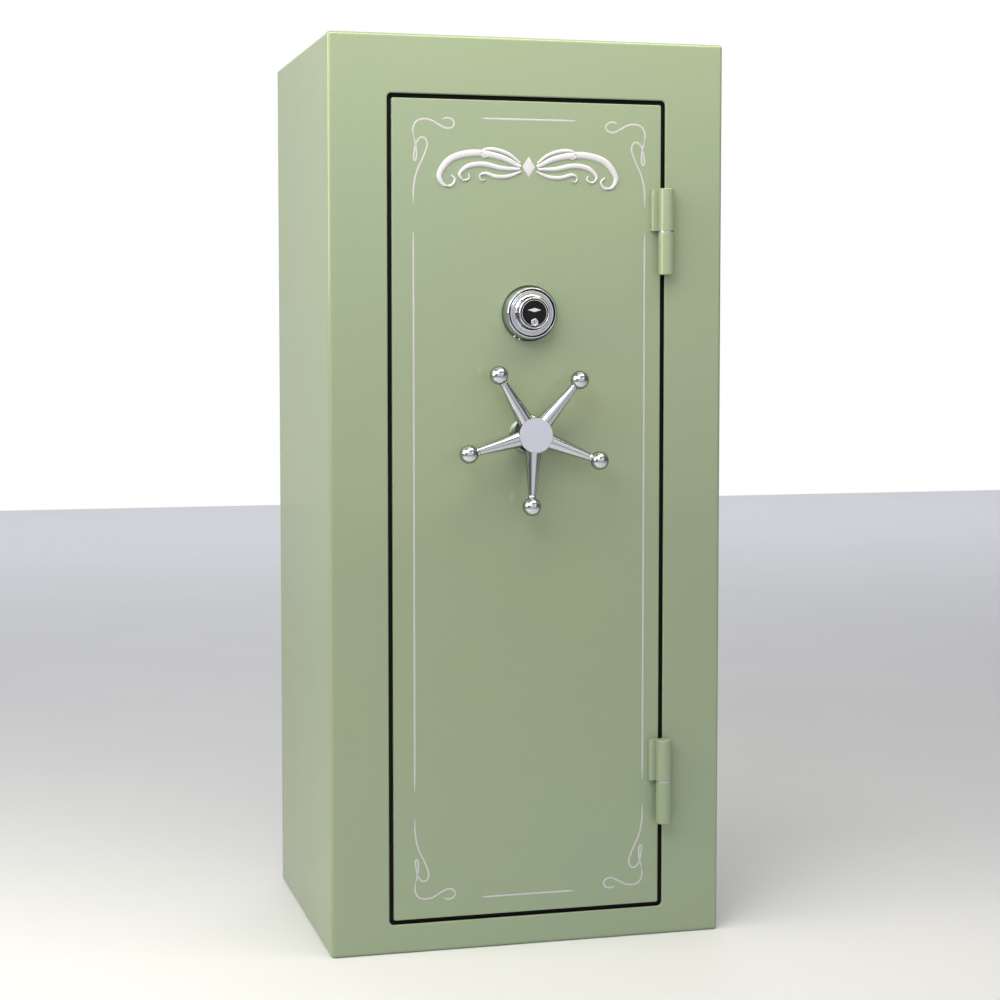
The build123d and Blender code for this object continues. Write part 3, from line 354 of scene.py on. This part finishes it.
def carpet():
    """Short charcoal-beige pile: tufts, flecks and a soft sheen."""
    paint = Paint("carpet", Roughness=0.95, Sheen_Weight=0.5, Sheen_Roughness=0.45)
    fleck = paint.noise(900, 3, 0.7)
    shade = paint.noise(9, 3)
    dark, light = (0.060, 0.055, 0.050, 1), (0.135, 0.125, 0.112, 1)
    tone = paint.blend(paint.span(fleck, 0, 1), dark, light)
    paint.colour(paint.blend(paint.span(shade, 0.0, 0.35), tone, (0.09, 0.08, 0.072, 1)))
    tufts = paint.cells(520).outputs["Distance"]
    paint.bump((tufts, 0.9, 0.0016), (fleck, 0.6, 0.0008))
    return paint.material


def gloss_black():
    """Gloss black enamel disc with the faintest dust."""
    paint = Paint("gloss_black", Coat_Weight=0.1, Coat_Roughness=0.05, Specular_IOR_Level=0.15)
    paint.colour(paint.blend(paint.noise(80, 4), (0.003, 0.003, 0.004, 1), (0.007, 0.007, 0.008, 1)))
    paint.roughness(paint.span(paint.noise(160, 4), 0.16, 0.30))
    return paint.material


def seal_rubber():
    """Matt black heat seal."""
    paint = Paint("seal", Specular_IOR_Level=0.25)
    paint.colour(paint.blend(paint.noise(90, 4), (0.006, 0.006, 0.006, 1), (0.016, 0.016, 0.016, 1)))
    paint.roughness(paint.span(paint.noise(70, 3), 0.75, 0.9))
    paint.bump((paint.noise(800, 3), 0.4, 0.0003))
    return paint.material


def silver_leaf(name, dark, light):
    """Hand-laid silver of the pinstripes and emblem, slightly uneven between two tones."""
    paint = Paint(name, Metallic=0.12)
    paint.colour(paint.blend(paint.noise(60, 4), dark, light))
    paint.roughness(paint.span(paint.noise(40, 3), 0.34, 0.44))
    paint.bump((paint.noise(90, 2), 0.02, 0.0001))
    return paint.material


def floor_paint():
    """Plain pale floor with a slow drift of tone."""
    paint = Paint("pale_floor", Roughness=0.75, Specular_IOR_Level=0.2)
    paint.colour(paint.blend(paint.noise(2, 3), (0.72, 0.73, 0.78, 1), (0.76, 0.77, 0.82, 1)))
    return paint.material


FINISH = {
    "body_paint": enamel(),
    "pan_paint": black_coat_and_gap_shade(),
    "fireboard": gypsum(),
    "carpet": carpet(),
    "zinc_steel": plated_steel(),
    "bolt_chrome": chrome(),
    "turned_steel": turned_steel(),
    "bronze": bronze(),
    "lock_casting": die_cast(),
    "dial_black": gloss_black(),
    "seal": seal_rubber(),
}
PAINTED_REFLECTION_CHROME = door_reflection_chrome()
SATIN = satin_steel()
LEAF = silver_leaf("silver_leaf", (0.60, 0.59, 0.64, 1), (0.68, 0.67, 0.72, 1))
STRIPE_LEAF = silver_leaf("stripe_leaf", (0.48, 0.47, 0.51, 1), (0.56, 0.55, 0.59, 1))


# ---- Mesh building --------------------------------------------------------
def finish_mesh(obj, material, sharp_degrees):
    """One material and smooth shading, with creases where faces meet at more than sharp_degrees."""
    obj.data.materials.clear()
    obj.data.materials.append(material)
    obj.data.shade_smooth()
    obj.data.set_sharp_from_angle(angle=math.radians(sharp_degrees))


def piece(name, mesh_maker, material, body, sharp_degrees=32):
    """A new visible piece made by mesh_maker(bmesh), riding on a body and showing the given material."""
    mesh = bpy.data.meshes.new(name)
    bm = bmesh.new()
    mesh_maker(bm)
    bmesh.ops.remove_doubles(bm, verts=bm.verts, dist=MERGE_DISTANCE)
    bmesh.ops.recalc_face_normals(bm, faces=bm.faces)
    bm.to_mesh(mesh)
    bm.free()
    obj = bpy.data.objects.new(name, mesh)
    bpy.context.scene.collection.objects.link(obj)
    finish_mesh(obj, material, sharp_degrees)
    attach(obj, body)
    return obj


def rounded_corners(points, radius, steps=5):
    """A polyline of 2-D points with each inner corner replaced by an arc-like curve of about that radius."""
    out = [Vector(points[0])]
    largest_share = 0.45
    for before, corner, after in zip(points, points[1:], points[2:]):
        before, corner, after = Vector(before), Vector(corner), Vector(after)
        reach = min(radius, (before - corner).length * largest_share, (after - corner).length * largest_share)
        start = corner + (before - corner).normalized() * reach
        end = corner + (after - corner).normalized() * reach
        for i in range(steps + 1):
            t = i / steps
            out.append(start * (1 - t) ** 2 + corner * 2 * t * (1 - t) + end * t ** 2)
    out.append(Vector(points[-1]))
    return out


def turn_profile(bm, profile, to_world, steps=LATHE_STEPS):
    """Revolves (radius, height) points in millimetres; to_world maps a local point in metres."""
    rings = []
    for radius, height in profile:
        if radius < TINY:
            rings.append([bm.verts.new(to_world(Vector((0, 0, height * MM))))])
            continue
        ring = []
        for i in range(steps):
            a = 2 * math.pi * i / steps
            point = Vector((radius * math.cos(a), radius * math.sin(a), height))
            ring.append(bm.verts.new(to_world(point * MM)))
        rings.append(ring)
    for low, high in zip(rings, rings[1:]):
        for i in range(steps):
            j = (i + 1) % steps
            quad = [low[i % len(low)], low[j % len(low)], high[j % len(high)], high[i % len(high)]]
            corners = list(dict.fromkeys(quad))
            if len(corners) > 2:
                bm.faces.new(corners)


def facing_out(centre):
    """Maps a turned piece's own height to distance in front of the door, about an axis through centre."""
    def to_world(p):
        return Vector((centre[0] + p.x, centre[1] - p.z, centre[2] + p.y))
    return to_world


DOOR_LOW, DOOR_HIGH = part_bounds("door_plate")
FRONT = DOOR_LOW.y


def centre_on_door(node):
    """The middle of a CAD node, moved to the plane of the door's front."""
    low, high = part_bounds(node)
    return Vector(((low.x + high.x) / 2, FRONT, (low.z + high.z) / 2))


def turned_size(node):
    """Radius of a node turned about the door's normal, and how far its front and back stand off the door.

    All three are in millimetres.
    """
    low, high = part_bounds(node)
    return (high.x - low.x) / 2 / MM, (FRONT - low.y) / MM, (FRONT - high.y) / MM


def prism(bm, front, depth):
    """Front and sides of a flat four-cornered piece, from its front corners and a depth in millimetres.

    Returns the back corners, which have no face yet.
    """
    back = [bm.verts.new(vert.co + Vector((0, depth * MM, 0))) for vert in front]
    bm.faces.new(front)
    for k in range(4):
        n = (k + 1) % 4
        bm.faces.new([front[k], back[k], back[n], front[n]])
    return back


HUB = centre_on_door("handle_hub")
DIAL = centre_on_door("dial_ring")


# ---- Handle ---------------------------------------------------------------
# Every profile lists (radius, distance before the door) in millimetres.
def make_hub():
    radius, front, back = turned_size("handle_hub")
    drum_start = front - HUB_DRUM_DEPTH
    neck = radius - HUB_STEP
    outline = [(0, back), (neck - 2, back), (neck, back + 2), (neck, drum_start - HUB_STEP_LENGTH),
               (radius, drum_start), (radius, front - 0.2), (radius - HUB_EDGE / 2, front),
               (radius - HUB_EDGE, front)]
    side = rounded_corners(outline, 0.8)
    hub = piece("hub_drum", lambda bm: turn_profile(bm, side, facing_out(HUB)), FINISH["bolt_chrome"],
                "handle")
    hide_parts("handle_hub")
    face = [(radius - HUB_EDGE + 0.1, front - 1), (radius - HUB_EDGE, front), (radius - 4, front),
            (radius - 8, front), (0, front)]
    piece("hub_face", lambda bm: turn_profile(bm, face, facing_out(HUB)), SATIN, "handle")


def make_rosette():
    radius, rise, _ = turned_size("handle_rosette")
    outline = [(radius - 0.6, 0), (radius, 1.0), (radius - 1, 2.4), (radius - 5, rise - 0.6),
               (radius - 12, rise), (ROSETTE_BORE, rise)]
    profile = rounded_corners(outline, 1.2)
    rosette = piece("rosette", lambda bm: turn_profile(bm, profile, facing_out(HUB)), PAINTED_REFLECTION_CHROME,
                    "door")
    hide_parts("handle_rosette")


def loose_parts(node):
    """The connected solids of a CAD node, as lists of vertex positions."""
    mesh = NODES[node].data
    parent = list(range(len(mesh.vertices)))

    def find(i):
        while parent[i] != i:
            parent[i] = parent[parent[i]]
            i = parent[i]
        return i

    by_place = {}
    for v in mesh.vertices:
        key = tuple(round(c, 6) for c in v.co)
        parent[find(v.index)] = find(by_place.setdefault(key, v.index))
    for edge in mesh.edges:
        parent[find(edge.vertices[0])] = find(edge.vertices[1])
    groups = {}
    for v in mesh.vertices:
        groups.setdefault(find(v.index), []).append(v.co.copy())
    return list(groups.values())


def part_box(points):
    low = Vector(min(p[i] for p in points) for i in range(3))
    high = Vector(max(p[i] for p in points) for i in range(3))
    return low, high


def make_spokes():
    """Turned tapers with a collar at each ball; they lean forward from the hub."""
    balls = []
    radius = 0
    for points in loose_parts("handle_balls"):
        low, high = part_box(points)
        balls.append((low + high) / 2)
        radius = max(radius, (high.y - low.y) / 2 / MM)
    hub_low, hub_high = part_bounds("handle_hub")
    root_y = hub_low.y + SPOKE_SETBACK * MM
    seat = (hub_high.x - hub_low.x) / 2 - SPOKE_SOCKET * MM

    def aim(ball):
        flat = Vector((ball.x - HUB.x, 0, ball.z - HUB.z)).normalized()
        root = Vector((HUB.x, root_y, HUB.z)) + flat * seat
        along = ball - root
        turn = Vector((0, 0, 1)).rotation_difference(along.normalized())
        return root, along.length / MM, turn

    def spokes(bm):
        for ball in balls:
            root, length, turn = aim(ball)
            tip = length - radius + SPOKE_OVERLAP
            outline = [(SPOKE_ROOT_RADIUS, 0), (SPOKE_ROOT_RADIUS - 0.2, 3), (SPOKE_NECK_RADIUS, tip - 5),
                       (SPOKE_NECK_RADIUS - 0.2, tip - 4), (SPOKE_COLLAR_RADIUS, tip - 3.2),
                       (SPOKE_COLLAR_RADIUS, tip - 1.4), (SPOKE_TIP_RADIUS, tip - 0.6),
                       (SPOKE_TIP_RADIUS, tip + 1.5)]
            turn_profile(bm, rounded_corners(outline, 0.6, 3), lambda p: root + turn @ p, SPOKE_STEPS)

    def knobs(bm):
        for ball in balls:
            root, length, turn = aim(ball)
            angles = [math.pi * i / BALL_ARC_STEPS for i in range(BALL_ARC_STEPS + 1)]
            arc = [(radius * math.sin(a), length - radius * math.cos(a)) for a in angles]
            turn_profile(bm, arc, lambda p: root + turn @ p, SMALL_LATHE_STEPS)

    spoke_piece = piece("spokes", spokes, FINISH["bolt_chrome"], "handle", sharp_degrees=40)
    ball_piece = piece("balls", knobs, FINISH["bolt_chrome"], "handle", sharp_degrees=60)
    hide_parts("handle_spokes")
    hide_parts("handle_balls")


# ---- Dial -----------------------------------------------------------------
def make_dial_case():
    radius, rise, _ = turned_size("dial_ring")
    lip = radius - CASE_LIP
    bore = lip - CASE_LIP_WIDTH
    outline = [(radius - 1.0, 0), (radius, 1.2), (radius, 5), (radius - 0.5, 10), (radius - 1.6, 15.5),
               (radius - 3.2, rise - 3.6), (lip, rise - 0.8), (lip - 0.8, rise), (bore + 0.5, rise),
               (bore, rise - 0.6), (bore, CASE_FLOOR), (CASE_BORE, CASE_FLOOR)]

    def case(bm):
        turn_profile(bm, rounded_corners(outline, 1.6), facing_out(DIAL))
        for degrees in CASE_BUMP_DEGREES:
            a = math.radians(degrees)
            spot = DIAL + Vector((radius * math.cos(a), -CASE_BUMP_RISE, radius * math.sin(a))) * MM
            bmesh.ops.create_uvsphere(bm, u_segments=24, v_segments=16, radius=CASE_BUMP_RADIUS * MM,
                                      matrix=Matrix.Translation(spot))

    ring = piece("dial_case", case, FINISH["bolt_chrome"], "door")
    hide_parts("dial_ring")


def make_dial_drum(shoulder, disc_radius):
    """The knob, with its skirt at the shoulder's height and a recess round the black disc."""
    drum, front, _ = turned_size("dial_knob")
    outline = [(DRUM_BORE, DRUM_BACK), (drum, DRUM_BACK), (drum, shoulder - 1.2), (drum - 1.0, shoulder),
               (drum - 3.4, shoulder), (drum - 3.8, shoulder - 0.5), (drum - 4.2, shoulder),
               (DRUM_SKIRT_RADIUS, shoulder), (28.2, shoulder + 1.6), (DRUM_GRIP_RADIUS + 0.2, shoulder + 6),
               (DRUM_GRIP_RADIUS, front - 3.2), (26.2, front - 0.8), (25.4, front),
               (disc_radius + 0.5, front), (disc_radius, front - 0.6), (disc_radius, front - 2)]
    profile = rounded_corners(outline, 0.8)
    knob = piece("dial_drum", lambda bm: turn_profile(bm, profile, facing_out(DIAL)), FINISH["bolt_chrome"],
                 "dial")
    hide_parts("dial_knob")


def make_dial_ticks(shoulder):
    """A hundred divisions on the drum's shoulder, longer at every fifth and tenth."""
    outer = turned_size("dial_knob")[0] - TICK_INSET

    def ticks(bm):
        place = DIAL + Vector((0, -(shoulder + TICK_RISE) * MM, 0))
        for i in range(TICKS):
            length = next(size for step, size in TICK_LENGTHS.items() if i % step == 0)
            half = TICK_HALF if i % 10 else TENTH_TICK_HALF
            turn = Matrix.Rotation(2 * math.pi * i / TICKS, 3, "Y")
            corners = ((-half, outer), (half, outer), (half, outer - length), (-half, outer - length))
            front = [bm.verts.new(place + turn @ (Vector((u, 0, v)) * MM)) for u, v in corners]
            bm.faces.new(list(reversed(prism(bm, front, TICK_DEPTH))))

    piece("dial_ticks", ticks, FINISH["dial_black"], "dial")


def make_disc_ornament(disc_radius):
    """A plain ring and a small lozenge on the black disc."""
    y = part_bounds("dial_face")[0].y
    z = DIAL.z + LOZENGE_LIFT * MM

    def ornament(bm):
        outer = disc_radius - DISC_RING_INSET
        inner = outer - DISC_RING_WIDTH
        rim = [(outer, -DISC_RING_SINK), (outer, DISC_RING_RISE), (inner, DISC_RING_RISE),
               (inner, -DISC_RING_SINK), (outer, -DISC_RING_SINK)]
        turn_profile(bm, rim, facing_out(Vector((DIAL.x, y, DIAL.z))))
        lozenge = [(0, LOZENGE_HALF_HEIGHT), (LOZENGE_HALF_WIDTH, 0), (0, -LOZENGE_HALF_HEIGHT),
                   (-LOZENGE_HALF_WIDTH, 0)]
        middle = Vector((DIAL.x, y - LOZENGE_RISE * MM, z))
        front = [bm.verts.new(middle + Vector((u, 0, v)) * MM) for u, v in lozenge]
        prism(bm, front, LOZENGE_DEPTH)

    piece("dial_face_ornament", ornament, LEAF, "dial")


def make_key_plug():
    key = centre_on_door("dial_key_plug")
    radius, tip, _ = turned_size("dial_key_plug")
    dish = tip - PLUG_DISH
    outline = [(radius, tip - PLUG_LENGTH), (radius, tip - 0.6), (radius - 0.6, tip), (radius - 2.0, tip),
               (radius - 2.3, dish), (0, dish)]
    profile = rounded_corners(outline, 0.4)
    plug = piece("key_plug", lambda bm: turn_profile(bm, profile, facing_out(key), SMALL_LATHE_STEPS),
                 FINISH["bolt_chrome"], "key_plug")
    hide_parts("dial_key_plug")

    def keyway(bm):
        size = Vector(KEYWAY_SIZE) * MM
        centre = Vector((key.x, FRONT - (tip - KEYWAY_SINK) * MM, key.z))
        bmesh.ops.create_cube(bm, size=1, matrix=Matrix.Translation(centre) @ Matrix.Diagonal((*size, 1)))
        bmesh.ops.bevel(bm, geom=bm.edges[:], offset=KEYWAY_BEVEL * MM, segments=2, affect="EDGES")

    piece("keyway", keyway, FINISH["dial_black"], "key_plug")


def make_dial():
    shoulder = turned_size("dial_ring")[1] - DRUM_SINK
    disc_radius = turned_size("dial_face")[0]
    make_dial_case()
    make_dial_drum(shoulder, disc_radius)
    make_dial_ticks(shoulder)
    make_disc_ornament(disc_radius)
    make_key_plug()


# ---- Pinstripes and emblem ------------------------------------------------
def smooth_path(points, steps=10):
    """Catmull-Rom curve through 2-D points."""
    pts = [Vector(p) for p in points]
    pts = [pts[0] * 2 - pts[1]] + pts + [pts[-1] * 2 - pts[-2]]
    out = []
    for a, b, c, d in zip(pts, pts[1:], pts[2:], pts[3:]):
        for i in range(steps):
            t = i / steps
            out.append(0.5 * (2 * b + (c - a) * t + (2 * a - 5 * b + 4 * c - d) * t ** 2
                              + (3 * b - 3 * c + d - a) * t ** 3))
    out.append(pts[-2])
    return out


# Section of a ridge, from one edge to the other: share of its half width, share of its rise.
RIDGE_SECTION = [(-1, 0.0), (-0.8, 0.75), (-0.35, 1.0), (0.35, 1.0), (0.8, 0.75), (1, 0.0)]


def ribbon(bm, path, width_at, rise, place):
    """A low ridge along a 2-D path in millimetres; width_at(t) gives its width, place maps (u, v, height)."""
    count = len(path)
    rows = []
    for i, p in enumerate(path):
        ahead = path[min(i + 1, count - 1)] - path[max(i - 1, 0)]
        normal = Vector((-ahead.y, ahead.x)).normalized()
        half = width_at(i / (count - 1)) / 2
        row = []
        for side, height in RIDGE_SECTION:
            q = p + normal * side * half
            row.append(bm.verts.new(place(q.x, q.y, height * rise)))
        rows.append(row)
    for a, b in zip(rows, rows[1:]):
        for k in range(len(RIDGE_SECTION)):
            bm.faces.new([a[k - 1], a[k], b[k], b[k - 1]])
    bm.faces.new(rows[0])
    bm.faces.new(list(reversed(rows[-1])))


def tapered(ends=0.06):
    """Width of a stripe that narrows over the given share of its length at both ends."""
    least = 0.35

    def width_at(t):
        edge = min(t, 1 - t) / ends
        return STRIPE_WIDTH * (least + (1 - least) * min(1.0, edge))
    return width_at


def swell(width):
    """Width of an emblem stroke: a belly over its first part, then a narrowing tail."""
    tail_start = 0.70
    tail_share = 0.42
    tail_loss = 0.56
    least = 0.16

    def width_at(t):
        if t < tail_start:
            phase = min(1.0, t * 1.25 + 0.12)
            return width * (least + (1 - least) * math.sin(math.pi * phase) ** 0.8)
        return width * (tail_share - tail_loss * (t - tail_start))
    return width_at


# Corner scrolls of the pinstripes, inward from the stripe and up from its end.
LOWER_SCROLL = [
    (0, 0), (0.6, 26), (6, 52), (17, 76), (23.5, 95), (20, 106), (12, 107), (5, 98), (1.5, 82), (1, 72),
    (4.5, 71), (6, 82), (4, 97), (0.8, 110),
]
UPPER_SCROLL = [
    (0.8, 110), (0, 122), (5, 133), (16, 137.5), (30, 136), (43, 129), (55, 123.5), (65, 125),
    (69, 131.5), (65, 138.5), (56, 140.5), (49, 138),
]
# Strokes of one half of the emblem: greatest width, then points outward and up from the middle.
EMBLEM_STROKES = [
    (11.5, [(14, 0), (48, 15), (92, 21), (132, 11), (152, -14), (146, -31), (132, -33), (126, -23),
            (133, -16)]),
    (8.5, [(16, -4), (46, -3), (78, 3), (104, -1), (118, -14), (112, -24), (102, -21), (103, -13)]),
    (6.5, [(15, 6), (34, 20), (56, 27), (74, 27), (82, 20), (76, 14), (69, 17)]),
    (6.5, [(13, -8), (34, -16), (56, -17), (74, -12), (84, -16), (81, -24), (74, -22)]),
]


def make_pinstripes():
    left = DOOR_LOW.x + STRIPE_INSET_LEFT * MM
    right = DOOR_HIGH.x - STRIPE_INSET_RIGHT * MM
    top = DOOR_HIGH.z - STRIPE_INSET_TOP * MM
    bottom = DOOR_LOW.z + STRIPE_INSET_BOTTOM * MM
    mid_x = (DOOR_LOW.x + DOOR_HIGH.x) / 2

    def plain(u, v, h):
        return Vector((u * MM, FRONT - h * MM, v * MM))

    def straight(bm, start, end, steps, width_at):
        path = [start + (end - start) * i / steps for i in range(steps + 1)]
        ribbon(bm, path, width_at, STRIPE_RISE, plain)

    def scrolls(bm, x, inward, z, upward):
        def corner(u, v, h):
            return Vector((x + inward * u * MM, FRONT - h * MM, z + upward * (v - SCROLL_HEIGHT) * MM))

        for scroll in (LOWER_SCROLL, UPPER_SCROLL):
            ribbon(bm, smooth_path(scroll), tapered(), STRIPE_RISE, corner)

    def stripes(bm):
        low = bottom / MM + SCROLL_HEIGHT + SIDE_STRIPE_GAP
        high = top / MM - SCROLL_HEIGHT - SIDE_STRIPE_GAP
        for x in (left, right):
            straight(bm, Vector((x / MM, low)), Vector((x / MM, high)), SIDE_STRIPE_STEPS, tapered(ends=0.02))
        for z in (top, bottom):
            start = Vector((mid_x / MM - TOP_STRIPE_HALF, z / MM))
            end = Vector((mid_x / MM + TOP_STRIPE_HALF, z / MM))
            straight(bm, start, end, TOP_STRIPE_STEPS, tapered())
        for x, inward in ((left, 1), (right, -1)):
            for z, upward in ((top, 1), (bottom, -1)):
                scrolls(bm, x, inward, z, upward)

    piece("pinstripes", stripes, STRIPE_LEAF, "door", sharp_degrees=60)


def make_emblem():
    """A generic silver flourish: a centre lozenge with mirrored sets of tapering scrolls."""
    low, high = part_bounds("door_emblem")
    centre = (low + high) / 2
    rise = (FRONT - low.y) / MM

    def emblem(bm):
        for side in (1, -1):
            def place(u, v, h, side=side):
                return Vector((centre.x + side * u * MM, FRONT - h * MM, centre.z + v * MM))

            for width, points in EMBLEM_STROKES:
                ribbon(bm, smooth_path(points, 12), swell(width), rise, place)
        corners = [(0, EMBLEM_HALF_HEIGHT), (EMBLEM_HALF_WIDTH, 0), (0, -EMBLEM_HALF_HEIGHT),
                   (-EMBLEM_HALF_WIDTH, 0)]
        peak = bm.verts.new(Vector((centre.x, FRONT - rise * MM, centre.z)))
        ring = [bm.verts.new(Vector((centre.x + u * MM, FRONT, centre.z + v * MM))) for u, v in corners]
        for k in range(4):
            bm.faces.new([peak, ring[k], ring[(k + 1) % 4]])
        bm.faces.new(list(reversed(ring)))

    flourish = piece("emblem", emblem, LEAF, "door", sharp_degrees=50)
    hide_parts("door_emblem")


# ---- CAD nodes that stay --------------------------------------------------
def dress_nodes():
    """Gives every CAD node the finish of its own slot."""
    slots = {entry["node"]: entry["material_slot"] for entry in frame["record"]["subparts"]}
    for name, obj in NODES.items():
        finish_mesh(obj, FINISH[slots[name]], sharp_degrees=28)


# ---- Stage ----------------------------------------------------------------
def add_light(name, place, target, size, power, colour):
    data = bpy.data.lights.new(name, "AREA")
    data.shape = "RECTANGLE"
    data.size, data.size_y = size
    data.energy = power
    data.color = colour
    obj = bpy.data.objects.new(name, data)
    obj.location = place
    obj.rotation_euler = (Vector(target) - Vector(place)).to_track_quat("-Z", "Y").to_euler()
    bpy.context.scene.collection.objects.link(obj)


def make_floor():
    mesh = bpy.data.meshes.new("floor")
    corners = [(x * FLOOR_HALF, y * FLOOR_HALF, 0) for x, y in ((-1, -1), (1, -1), (1, 1), (-1, 1))]
    mesh.from_pydata(corners, [], [(0, 1, 2, 3)])
    floor = bpy.data.objects.new("floor", mesh)
    bpy.context.scene.collection.objects.link(floor)
    floor.data.materials.append(floor_paint())


def make_world():
    """A grey studio whose tone depends on direction alone."""
    world = bpy.data.worlds.new("studio")
    bpy.context.scene.world = world
    world.use_nodes = True
    tree = world.node_tree
    coords = tree.nodes.new("ShaderNodeTexCoord")
    split = tree.nodes.new("ShaderNodeSeparateXYZ")
    tree.links.new(coords.outputs["Generated"], split.inputs[0])

    def ramp(axis, stops):
        """Grey along one axis of the direction, through (place from -1 to 1, grey) stops."""
        node = tree.nodes.new("ShaderNodeValToRGB")
        remap = tree.nodes.new("ShaderNodeMapRange")
        tree.links.new(split.outputs[axis], remap.inputs["Value"])
        remap.inputs["From Min"].default_value = -1
        tree.links.new(remap.outputs["Result"], node.inputs["Fac"])
        elements = node.color_ramp.elements
        for direction, grey in stops[1:-1]:
            elements.new((direction + 1) / 2).color = (grey, grey, grey, 1)
        for element, (_, grey) in zip((elements[0], elements[-1]), (stops[0], stops[-1])):
            element.color = (grey, grey, grey, 1)
        return node.outputs["Color"]

    def combine(kind, first, second):
        node = tree.nodes.new("ShaderNodeMix")
        node.data_type = "RGBA"
        node.blend_type = kind
        node.inputs[MIX_FACTOR].default_value = 1.0
        tree.links.new(first, node.inputs[MIX_FIRST])
        tree.links.new(second, node.inputs[MIX_SECOND])
        return node.outputs[MIX_RESULT]

    sweep = combine("MULTIPLY", ramp("Y", SWEEP_STOPS), ramp("X", SWEEP_EDGE_STOPS))
    room = combine("LIGHTEN", ramp("Y", FRONT_STOPS), ramp("Z", CEILING_STOPS))
    tree.links.new(combine("LIGHTEN", sweep, room), tree.nodes["Background"].inputs["Color"])


def make_camera():
    data = bpy.data.cameras.new("camera")
    data.lens = LENS
    data.shift_y = SHIFT_Y
    data.clip_end = CAMERA_REACH
    camera = bpy.data.objects.new("camera", data)
    camera.location = CAMERA_PLACE
    camera.rotation_euler = (math.radians(90 + CAMERA_PITCH), 0, math.radians(CAMERA_YAW))
    bpy.context.scene.collection.objects.link(camera)
    bpy.context.scene.camera = camera


make_camera()
make_floor()
make_world()
for light in LIGHTS:
    add_light(*light)
dress_nodes()
make_hub()
make_rosette()
make_spokes()
make_dial()
make_pinstripes()
make_emblem()
bpy.context.scene.view_settings.view_transform = "Standard"
